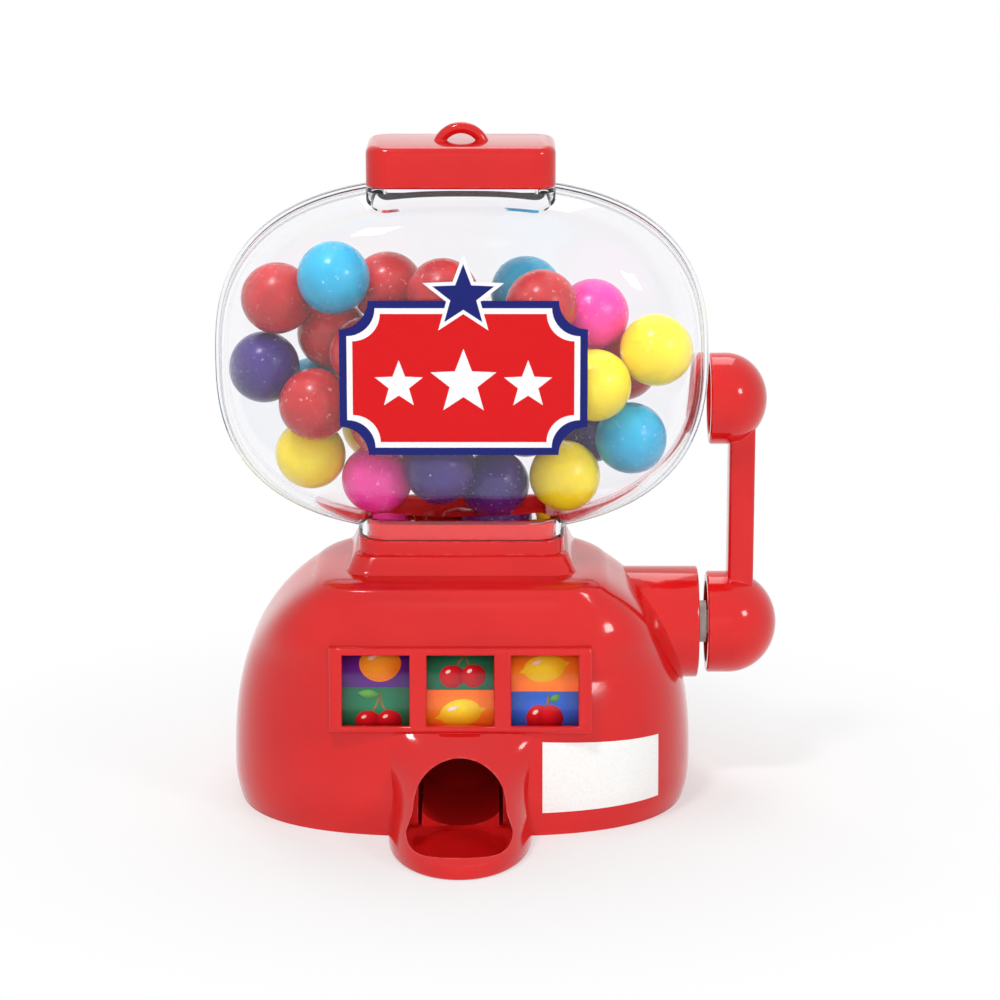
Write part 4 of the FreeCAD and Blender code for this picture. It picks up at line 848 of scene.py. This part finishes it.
def filler_lid():
    """A hollow cap with a rounded top edge, and a small loop to lift it by."""
    bm = bmesh.new()
    rows = [(LID_WALL, LID_TOP - LID_WALL), (LID_WALL, DECK_Z + 0.15), (1.4, DECK_Z), (0.25, DECK_Z),
            (0.0, DECK_Z + 0.25)]
    rows += [(back, LID_TOP - drop) for back, drop in quarter_round(LID_ROUND)]
    solid_skin(bm, [round_rect_loop(bm, LID_HALF[0] - back, LID_HALF[1] - back, LID_CORNER - back, z)
                    for back, z in rows])
    ring = bmesh.ops.create_circle(bm, segments=24, radius=LOOP_WIRE)["verts"]
    middle_z = LID_TOP + (LOOP_RISE ** 2 - LOOP_HALF ** 2) / (2 * LOOP_RISE)
    turn_r = LID_TOP + LOOP_RISE - middle_z
    begin = math.asin(LOOP_HALF / turn_r) + LOOP_SUNK
    bmesh.ops.translate(bm, vec=(turn_r, 0, 0), verts=ring)
    bmesh.ops.rotate(bm, cent=(0, 0, 0), matrix=Matrix.Rotation(begin - math.pi / 2, 3, "Y"), verts=ring)
    bmesh.ops.translate(bm, vec=(0, 0, middle_z), verts=ring)
    edges = list({e for v in ring for e in v.link_edges})
    bmesh.ops.spin(bm, geom=ring + edges, cent=(0, 0, middle_z), axis=(0, 1, 0), angle=-2 * begin, steps=32)
    tidy(bm)
    piece("filler_cap", bm, [RED], "filler_lid", ["lid"])


# Lever

def knob_profile(radius, straight, length, bore):
    """Flat inner face with a recess, short straight side and a domed end."""
    inner, side = radius - KNOB_WALL, LEVER_FACE + straight
    points = [(side - 0.2, bore), (side - 0.2, inner), (LEVER_FACE + 0.2, inner), (LEVER_FACE, inner + 0.2),
              (LEVER_FACE, radius - 0.3), (LEVER_FACE + 0.3, radius)]
    for step in range(28):
        turn = math.pi / 2 * step / 28
        points.append((side + (length - straight) * math.sin(turn), radius * math.cos(turn)))
    return points + [(LEVER_FACE + length, 0.0)]


def lever():
    bm = bmesh.new()
    turn_profile(bm, knob_profile(*HUB), (0, LEVER_Y, LEVER_Z))
    turn_profile(bm, knob_profile(*KNOB), (0, LEVER_Y, LEVER_Z + LEVER_LENGTH))
    bar = plain_box((LEVER_BAR[0], LEVER_Y - LEVER_BAR_HALF, LEVER_Z),
                    (LEVER_BAR[1], LEVER_Y + LEVER_BAR_HALF, LEVER_Z + LEVER_LENGTH))
    upright = [e for e in bar.edges if abs(e.verts[0].co.z - e.verts[1].co.z) > 1]
    soften(bar, upright, LEVER_BAR_EDGE, 4)
    mesh = mesh_from(bar, "bar")
    bm.from_mesh(mesh)
    bpy.data.meshes.remove(mesh)
    tidy(bm)
    piece("pull_lever", bm, [RED], "lever", ["lever_arm"])


# Gumballs

def ball_middles(node):
    """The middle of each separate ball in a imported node."""
    bm = bmesh.new()
    bm.from_mesh(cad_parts[node].data)
    bmesh.ops.remove_doubles(bm, verts=bm.verts, dist=1e-6)
    left = set(bm.verts)
    middles = []
    while left:
        todo = [left.pop()]
        group = []
        while todo:
            vert = todo.pop()
            group.append(vert.co)
            for edge in vert.link_edges:
                other = edge.other_vert(vert)
                if other in left:
                    left.remove(other)
                    todo.append(other)
        low = Vector([min(co[i] for co in group) for i in range(3)])
        high = Vector([max(co[i] for co in group) for i in range(3)])
        middles.append((low + high) / 2 / MM)
    bm.free()
    return sorted(middles, key=lambda co: tuple(round(part, 3) for part in co))


def gumball_heap(node, colour, body):
    """Each ball a little out of round, as sugar shells set."""
    bm = bmesh.new()
    for index, middle in enumerate(ball_middles(node)):
        ball = bmesh.ops.create_icosphere(bm, subdivisions=5, radius=BALL_R)["verts"]
        for vert in ball:
            x, y, z = vert.co.normalized()
            ripple = math.sin(3.1 * x + index) * math.sin(2.7 * y + 2 * index) * math.sin(3.3 * z + 3 * index)
            vert.co *= 1 - BALL_RIPPLE * (1 + ripple) / 2
        turn = Matrix.Rotation(0.9 * index, 3, (1, 2, 3))
        bmesh.ops.rotate(bm, cent=(0, 0, 0), matrix=turn, verts=ball)
        bmesh.ops.translate(bm, vec=middle, verts=ball)
    piece(node.replace("gumball", "candy"), bm, [CANDY[colour]], body, [node])


# Reel strips, drawn flat and then wrapped round the reels

PRINT_TONES = (
    ("print_purple", (104, 34, 150), (58, 18, 96)),
    ("print_green", (22, 132, 88), (10, 74, 52)),
    ("print_orange", (252, 150, 44), (238, 84, 18)),
    ("print_blue", (44, 112, 232), (28, 66, 150)),
    ("print_yellow", (250, 214, 62), (240, 168, 24)),
    ("print_pink", (246, 132, 178), (220, 70, 130)),
    ("fruit_lemon", (255, 232, 60), (232, 176, 16), (-0.2, 0.35, 0)),
    ("fruit_tangerine", (255, 184, 56), (236, 116, 14), (-0.2, 0.35, 0)),
    ("fruit_cherry", (226, 26, 40), (150, 8, 24), (-0.3, 0.4, 0)),
    ("fruit_plum", (130, 62, 168), (74, 24, 104), (-0.3, 0.4, 0)),
    ("fruit_leaf", (96, 160, 62), (40, 100, 40), (-0.2, 0.3, 0)),
    ("fruit_stalk", (150, 116, 60), (92, 66, 34)),
    ("fruit_shine", (255, 244, 232), (255, 214, 190)),
)
PRINTS = {name.split("_")[1]: printed(name, paint(*pale), paint(*deep), *middle)
          for name, pale, deep, *middle in PRINT_TONES}
PRINT_ORDER = list(PRINTS)
PANEL_ARC = 2 * math.pi * STRIP_R / PANELS


def placed(points, u, v, turn):
    """Points turned about their middle and moved to (u, v)."""
    along, across = math.cos(turn), math.sin(turn)
    return [(u + a * along - b * across, v + a * across + b * along) for a, b in points]


def disc(u, v, half_u, half_v, turn=0.0):
    angles = [2 * math.pi * step / 40 for step in range(40)]
    return placed([(half_u * math.cos(angle), half_v * math.sin(angle)) for angle in angles], u, v, turn)


def leaf_shape(u, v, length, width, turn):
    """A leaf or lemon tip: two shallow arcs that meet in points."""
    points = []
    for side in (1, -1):
        for step in range(12):
            share = step / 12
            points.append((side * length * (share - 0.5), side * width / 2 * math.sin(math.pi * share)))
    return placed(points, u, v, turn)


def stroke(start, end, width, sag):
    """A bent stalk of even width."""
    across = Vector((end[1] - start[1], start[0] - end[0])).normalized()
    upper, lower = [], []
    for step in range(9):
        share = step / 8
        bow = sag * math.sin(math.pi * share)
        middle = Vector(start).lerp(Vector(end), share) + across * bow
        upper.append(tuple(middle + across * width / 2))
        lower.append(tuple(middle - across * width / 2))
    return upper + lower[::-1]


FRUITS = {
    "tangerine": [("tangerine", disc(0.5, 0.1, 2.9, 2.75)), ("leaf", leaf_shape(1.5, 2.6, 2.4, 1.1, 0.5)),
                  ("shine", disc(-0.6, 1.2, 0.75, 0.35, 0.6))],
    "cherries": [("stalk", stroke((-1.2, -0.7), (0.6, 2.9), 0.3, 0.3)),
                 ("stalk", stroke((1.9, -0.6), (0.6, 2.9), 0.3, -0.4)),
                 ("leaf", leaf_shape(-1.0, 2.6, 3.4, 1.3, -0.15)),
                 ("cherry", disc(-1.2, -1.6, 1.85, 1.75)), ("cherry", disc(1.9, -1.5, 1.8, 1.75)),
                 ("shine", disc(-1.8, -0.9, 0.42, 0.26, 0.6)), ("shine", disc(1.3, -0.8, 0.42, 0.26, 0.6))],
    "lemon": [("lemon", leaf_shape(0, 0, 7.6, 2.6, 0.22)), ("lemon", disc(0, 0, 3.0, 2.15, 0.22)),
              ("shine", disc(-1.1, 0.8, 0.8, 0.3, 0.4))],
    "apple": [("stalk", stroke((0.1, 1.2), (0.5, 3.2), 0.4, 0.2)),
              ("leaf", leaf_shape(1.5, 2.7, 2.2, 1.0, 0.6)),
              ("cherry", disc(-0.9, -0.6, 1.9, 2.3)), ("cherry", disc(0.9, -0.6, 1.9, 2.3)),
              ("shine", disc(-1.4, 0.5, 0.5, 0.3, 0.7))],
    "plum": [("stalk", stroke((0.0, 1.6), (0.7, 3.2), 0.35, 0.2)),
             ("leaf", leaf_shape(1.7, 2.6, 2.2, 0.9, 0.3)),
             ("plum", disc(0, -0.4, 2.5, 2.3, 0.3)), ("shine", disc(-1.0, 0.6, 0.6, 0.3, 0.6))],
    "strawberry": [("cherry", disc(0, 0.5, 2.4, 1.7)), ("cherry", leaf_shape(0, -0.3, 5.6, 3.9, math.pi / 2)),
                   ("leaf", leaf_shape(-0.9, 2.2, 2.2, 0.9, 0.5)),
                   ("leaf", leaf_shape(0.9, 2.2, 2.2, 0.9, -0.5)),
                   ("shine", disc(-0.9, 0.4, 0.4, 0.25, 0.6))],
}
FRUIT_SCALE = {"tangerine": 1.26, "cherries": 1.2, "lemon": 1.22, "apple": 1.15, "plum": 1.2,
               "strawberry": 1.2}
SEQUENCE = (("purple", "tangerine"), ("green", "cherries"), ("orange", "lemon"), ("blue", "apple"),
            ("yellow", "plum"), ("pink", "strawberry"))
REELS = (("left", -WINDOW_PITCH, 0, 19.6), ("middle", 0.0, 1, 16.6), ("right", WINDOW_PITCH, 2, 14.8))


def print_shape(bm, shape_layer, boxes, points, tone, low, high):
    """A patch of ink or paper in the flat sheet, with its own number, box and tone."""
    across, up = zip(*points)
    for face in raised_patch(bm, points, low, high):
        face[shape_layer] = len(boxes)
        face.material_index = PRINT_ORDER.index(tone)
    boxes.append((min(across), max(across), min(up), max(up)))


def reel_print(side, centre, first, edge_angle):
    """A strip of six fruit panels; the panel numbered first has its lower edge at edge_angle."""
    bm = bmesh.new()
    shape_layer = bm.faces.layers.int.new("shape")
    boxes = []
    for index in range(PANELS):
        tone, fruit = SEQUENCE[(first + index) % PANELS]
        top = -PANEL_ARC * (index - 1)
        middle = top - PANEL_ARC / 2
        half = STRIP_WIDTH / 2
        panel = [(-half, top - PANEL_ARC), (half, top - PANEL_ARC), (half, top), (-half, top)]
        print_shape(bm, shape_layer, boxes, panel, tone, -STRIP_THICK, 0.0)
        for layer, (ink, points) in enumerate(FRUITS[fruit]):
            lifted = [(u * FRUIT_SCALE[fruit], v * FRUIT_SCALE[fruit] + middle) for u, v in points]
            print_shape(bm, shape_layer, boxes, lifted, ink, -INK_UNDER, INK_PROUD + INK_LAYER * layer)
    bmesh.ops.recalc_face_normals(bm, faces=bm.faces)
    for step in range(-90, 60):
        bmesh.ops.bisect_plane(bm, geom=bm.verts[:] + bm.edges[:] + bm.faces[:],
                               plane_co=(0, 0, STRIP_SLICE * step + 0.013), plane_no=(0, 0, 1))
    flat = bm.loops.layers.uv.new("UVMap")
    for face in bm.faces:
        left, right, low, high = boxes[face[shape_layer]]
        for loop in face.loops:
            loop[flat].uv = (2 * (loop.vert.co.x - left) / (right - left) - 1,
                             2 * (loop.vert.co.z - low) / (high - low) - 1)
    for vert in bm.verts:
        angle = edge_angle + vert.co.z / STRIP_R
        radius = STRIP_R + vert.co.y
        vert.co = (centre + vert.co.x, REEL_Y - radius * math.cos(angle), REEL_Z + radius * math.sin(angle))
    bmesh.ops.recalc_face_normals(bm, faces=bm.faces)
    piece("reel_print_" + side, bm, list(PRINTS.values()), side + "_reel",
          ["fruit_strip_" + side], crease=30)


# Stickers

BADGE_INKS = {
    "navy": printed("badge_navy", paint(22, 30, 112), paint(18, 26, 98), sheen=0.15),
    "white": printed("badge_white", paint(244, 244, 246), paint(238, 238, 242), sheen=0.15),
    "red": printed("badge_red", paint(216, 14, 20), paint(204, 10, 18), sheen=0.15),
}


def ticket_shape(half_x, half_z, bite):
    """A rectangle whose corners are bitten in, like an admission ticket."""
    points = []
    for index, (sign_x, sign_z) in enumerate(((1, 1), (-1, 1), (-1, -1), (1, -1))):
        corner = (sign_x * half_x, sign_z * half_z)
        first = (0, -sign_z) if index % 2 == 0 else (-sign_x, 0)
        last = (-sign_x, 0) if index % 2 == 0 else (0, -sign_z)
        for step in range(11):
            turn = math.pi / 2 * step / 10
            points.append((corner[0] + bite * (first[0] * math.cos(turn) + last[0] * math.sin(turn)),
                           corner[1] + bite * (first[1] * math.cos(turn) + last[1] * math.sin(turn))))
    return points


def star_shape(u, v, radius):
    points = []
    for step in range(10):
        reach = radius if step % 2 == 0 else radius * 0.42
        angle = math.pi / 2 + math.pi * step / 5
        points.append((u + reach * math.cos(angle), v + reach * math.sin(angle)))
    return points


def globe_badge():
    """A plain ticket badge on the globe's flat front, in thin layers on a white backing."""
    bm = bmesh.new()
    ticket, crest = ticket_shape(21.5, 13.6, 5.0), star_shape(0, 14.4, 7.4)
    layers = (("white", ticket, 0.02, 0.06), ("white", crest, 0.02, 0.055), ("navy", ticket, 0.04, 0.1),
              ("white", ticket_shape(20.2, 12.3, 4.9), 0.05, 0.12),
              ("red", ticket_shape(19.2, 11.3, 4.8), 0.05, 0.14),
              ("white", star_shape(-11.2, -1.2, 4.4), 0.05, 0.16),
              ("white", star_shape(0, -0.8, 6.0), 0.05, 0.16),
              ("white", star_shape(11.2, -1.2, 4.4), 0.05, 0.16),
              ("white", crest, 0.045, 0.16),
              ("navy", star_shape(0, 14.4, 5.6), 0.05, 0.18))
    for tone, points, near, proud in layers:
        outline = [(BADGE_MIDDLE[0] + u, BADGE_MIDDLE[1] + v) for u, v in points]
        for face in raised_patch(bm, outline, -GLOBE_DEPTH - near, -GLOBE_DEPTH - proud):
            face.material_index = list(BADGE_INKS).index(tone)
    bmesh.ops.recalc_face_normals(bm, faces=bm.faces)
    piece("globe_badge", bm, list(BADGE_INKS.values()), "machine")


def base_label():
    """A blank paper label laid on the dome's front, to the right of the nose."""
    bm = bmesh.new()
    made = bmesh.ops.create_grid(bm, x_segments=24, y_segments=14, size=1.0)["verts"]
    for vert in made:
        across, up = vert.co.x, vert.co.y
        taper = LABEL_TAPER * across
        x = LABEL_MIDDLE[0] + LABEL_HALF[0] * across
        z = LABEL_MIDDLE[1] - taper + (LABEL_HALF[1] - taper) * up
        vert.co = (x, dome_front(x, z) - LABEL_GAP, z)
    bmesh.ops.recalc_face_normals(bm, faces=bm.faces)
    if bm.faces[:][0].normal.y > 0:
        bmesh.ops.reverse_faces(bm, faces=bm.faces)
    item = piece("base_label", bm, [PAPER], "machine")
    add_wall(item, LABEL_THICK)


# Stage

SEEN_PATHS = ("Is Camera Ray", "Is Glossy Ray", "Is Transmission Ray")
FLOOR_FADE = (0.045, 0.115)


def backdrop():
    """White where it is seen or mirrored, and a softer even light on everything else."""
    world = bpy.data.worlds.new("studio")
    bpy.context.scene.world = world
    world.use_nodes = True
    tree = world.node_tree
    tree.nodes.clear()
    lit = add_node(tree, "ShaderNodeBackground")
    lit.inputs["Strength"].default_value = 0.36
    shown = add_node(tree, "ShaderNodeBackground")
    shown.inputs["Color"].default_value = (1.0, 1.0, 1.0, 1.0)
    mix_shaders(tree, path_share(tree, *SEEN_PATHS), lit.outputs[0], shown.outputs[0],
                add_node(tree, "ShaderNodeOutputWorld"))


def floor():
    """A pale table top that fades into the white backdrop a hand's breadth from the machine."""
    bm = bmesh.new()
    bmesh.ops.create_circle(bm, cap_ends=True, segments=96, radius=2.0)
    table = put("floor", mesh_from(bm, "floor"))
    material, tree, shader = new_material("pale_floor")
    place = own_place(tree)
    grain = noise(tree, place, 300.0, 2.0)
    table_white = mix_colours(tree, grain, (0.9, 0.9, 0.9, 1), (0.92, 0.92, 0.92, 1))
    settle(tree, shader, {"Base Color": table_white, "Roughness": 0.6, "Specular IOR Level": 0.2})
    length = add_node(tree, "ShaderNodeVectorMath", operation="LENGTH")
    link(tree, place, length.inputs[0])
    far = remap(tree, length.outputs["Value"], *FLOOR_FADE, 0.5, 1.0)
    share = calculate(tree, "MULTIPLY", far, path_share(tree, *SEEN_PATHS))
    white = add_node(tree, "ShaderNodeEmission")
    white.inputs["Color"].default_value = (1.0, 1.0, 1.0, 1.0)
    mix_shaders(tree, share, shader.outputs[0], white.outputs[0], tree.nodes["Material Output"])
    table.data.materials.append(material)


LAMPS = (
    ("key", (-0.25, -0.4, 0.95), 0.16, 3.2, True),
    ("fill", (0.55, -0.5, 0.4), 0.14, 1.2, True),
    ("front", (0.0, -0.9, 0.25), 0.3, 2.7, False),
    ("top", (0.03, 0.42, 0.74), 0.45, 2.0, True),
    ("rear", (-0.35, 0.8, 0.45), 0.3, 1.6, False),
)
LAMP_AIM = (0.0, 0.0, 0.06)
CAMERA_PLACE = (0.0078, -0.5998, 0.195)
CAMERA_AIM = (0.0068, 0.0, 0.052)
CAMERA_LENS = 123.84


def aimed(name, data, place, aim):
    item = put(name, data)
    item.location = place
    item.rotation_euler = (Vector(aim) - item.location).to_track_quat("-Z", "Y").to_euler()
    return item


def studio():
    backdrop()
    floor()
    for name, place, size, power, mirrored in LAMPS:
        lamp = bpy.data.lights.new(name, "AREA")
        lamp.shape = "SQUARE"
        lamp.size = size
        lamp.energy = power
        body = aimed(name, lamp, place, LAMP_AIM)
        body.visible_glossy = mirrored
        body.visible_transmission = False
    lens = bpy.data.cameras.new("view")
    lens.sensor_width = 36.0
    lens.lens = CAMERA_LENS
    bpy.context.scene.camera = aimed("view", lens, CAMERA_PLACE, CAMERA_AIM)
    bpy.context.scene.view_settings.view_transform = "Standard"


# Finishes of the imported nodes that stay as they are

NODE_FINISH = (
    (RED, ("hopper_funnel",)),
    (RED_MATT, ("bottom_plate", "chute_ramp")),
    (BLACK, ("mechanism_frame",)),
    (WHITE, ("reel_left", "reel_middle", "reel_right", "reel_pinion", "idler_gear", "drive_gear",
             "dispensing_drum", "drive_shaft")),
    (STEEL, ("reel_axle", "idler_pin", "detent_comb", "return_spring", "bottom_screws", "frame_screws")),
)


def main():
    housing_dome()
    housing_neck()
    window_surround()
    nose()
    outlet_trough()
    lever_boss()
    globe_shells()
    filler_lid()
    lever()
    for colour in CANDY:
        gumball_heap("gumballs_" + colour, colour, "machine")
    gumball_heap("gumball_in_pocket", "yellow", "lever")
    for side, centre, first, edge_degrees in REELS:
        reel_print(side, centre, first, math.radians(edge_degrees))
    globe_badge()
    base_label()
    for material, nodes in NODE_FINISH:
        for node in nodes:
            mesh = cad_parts[node].data
            mesh.materials.clear()
            mesh.materials.append(material)
    studio()


main()
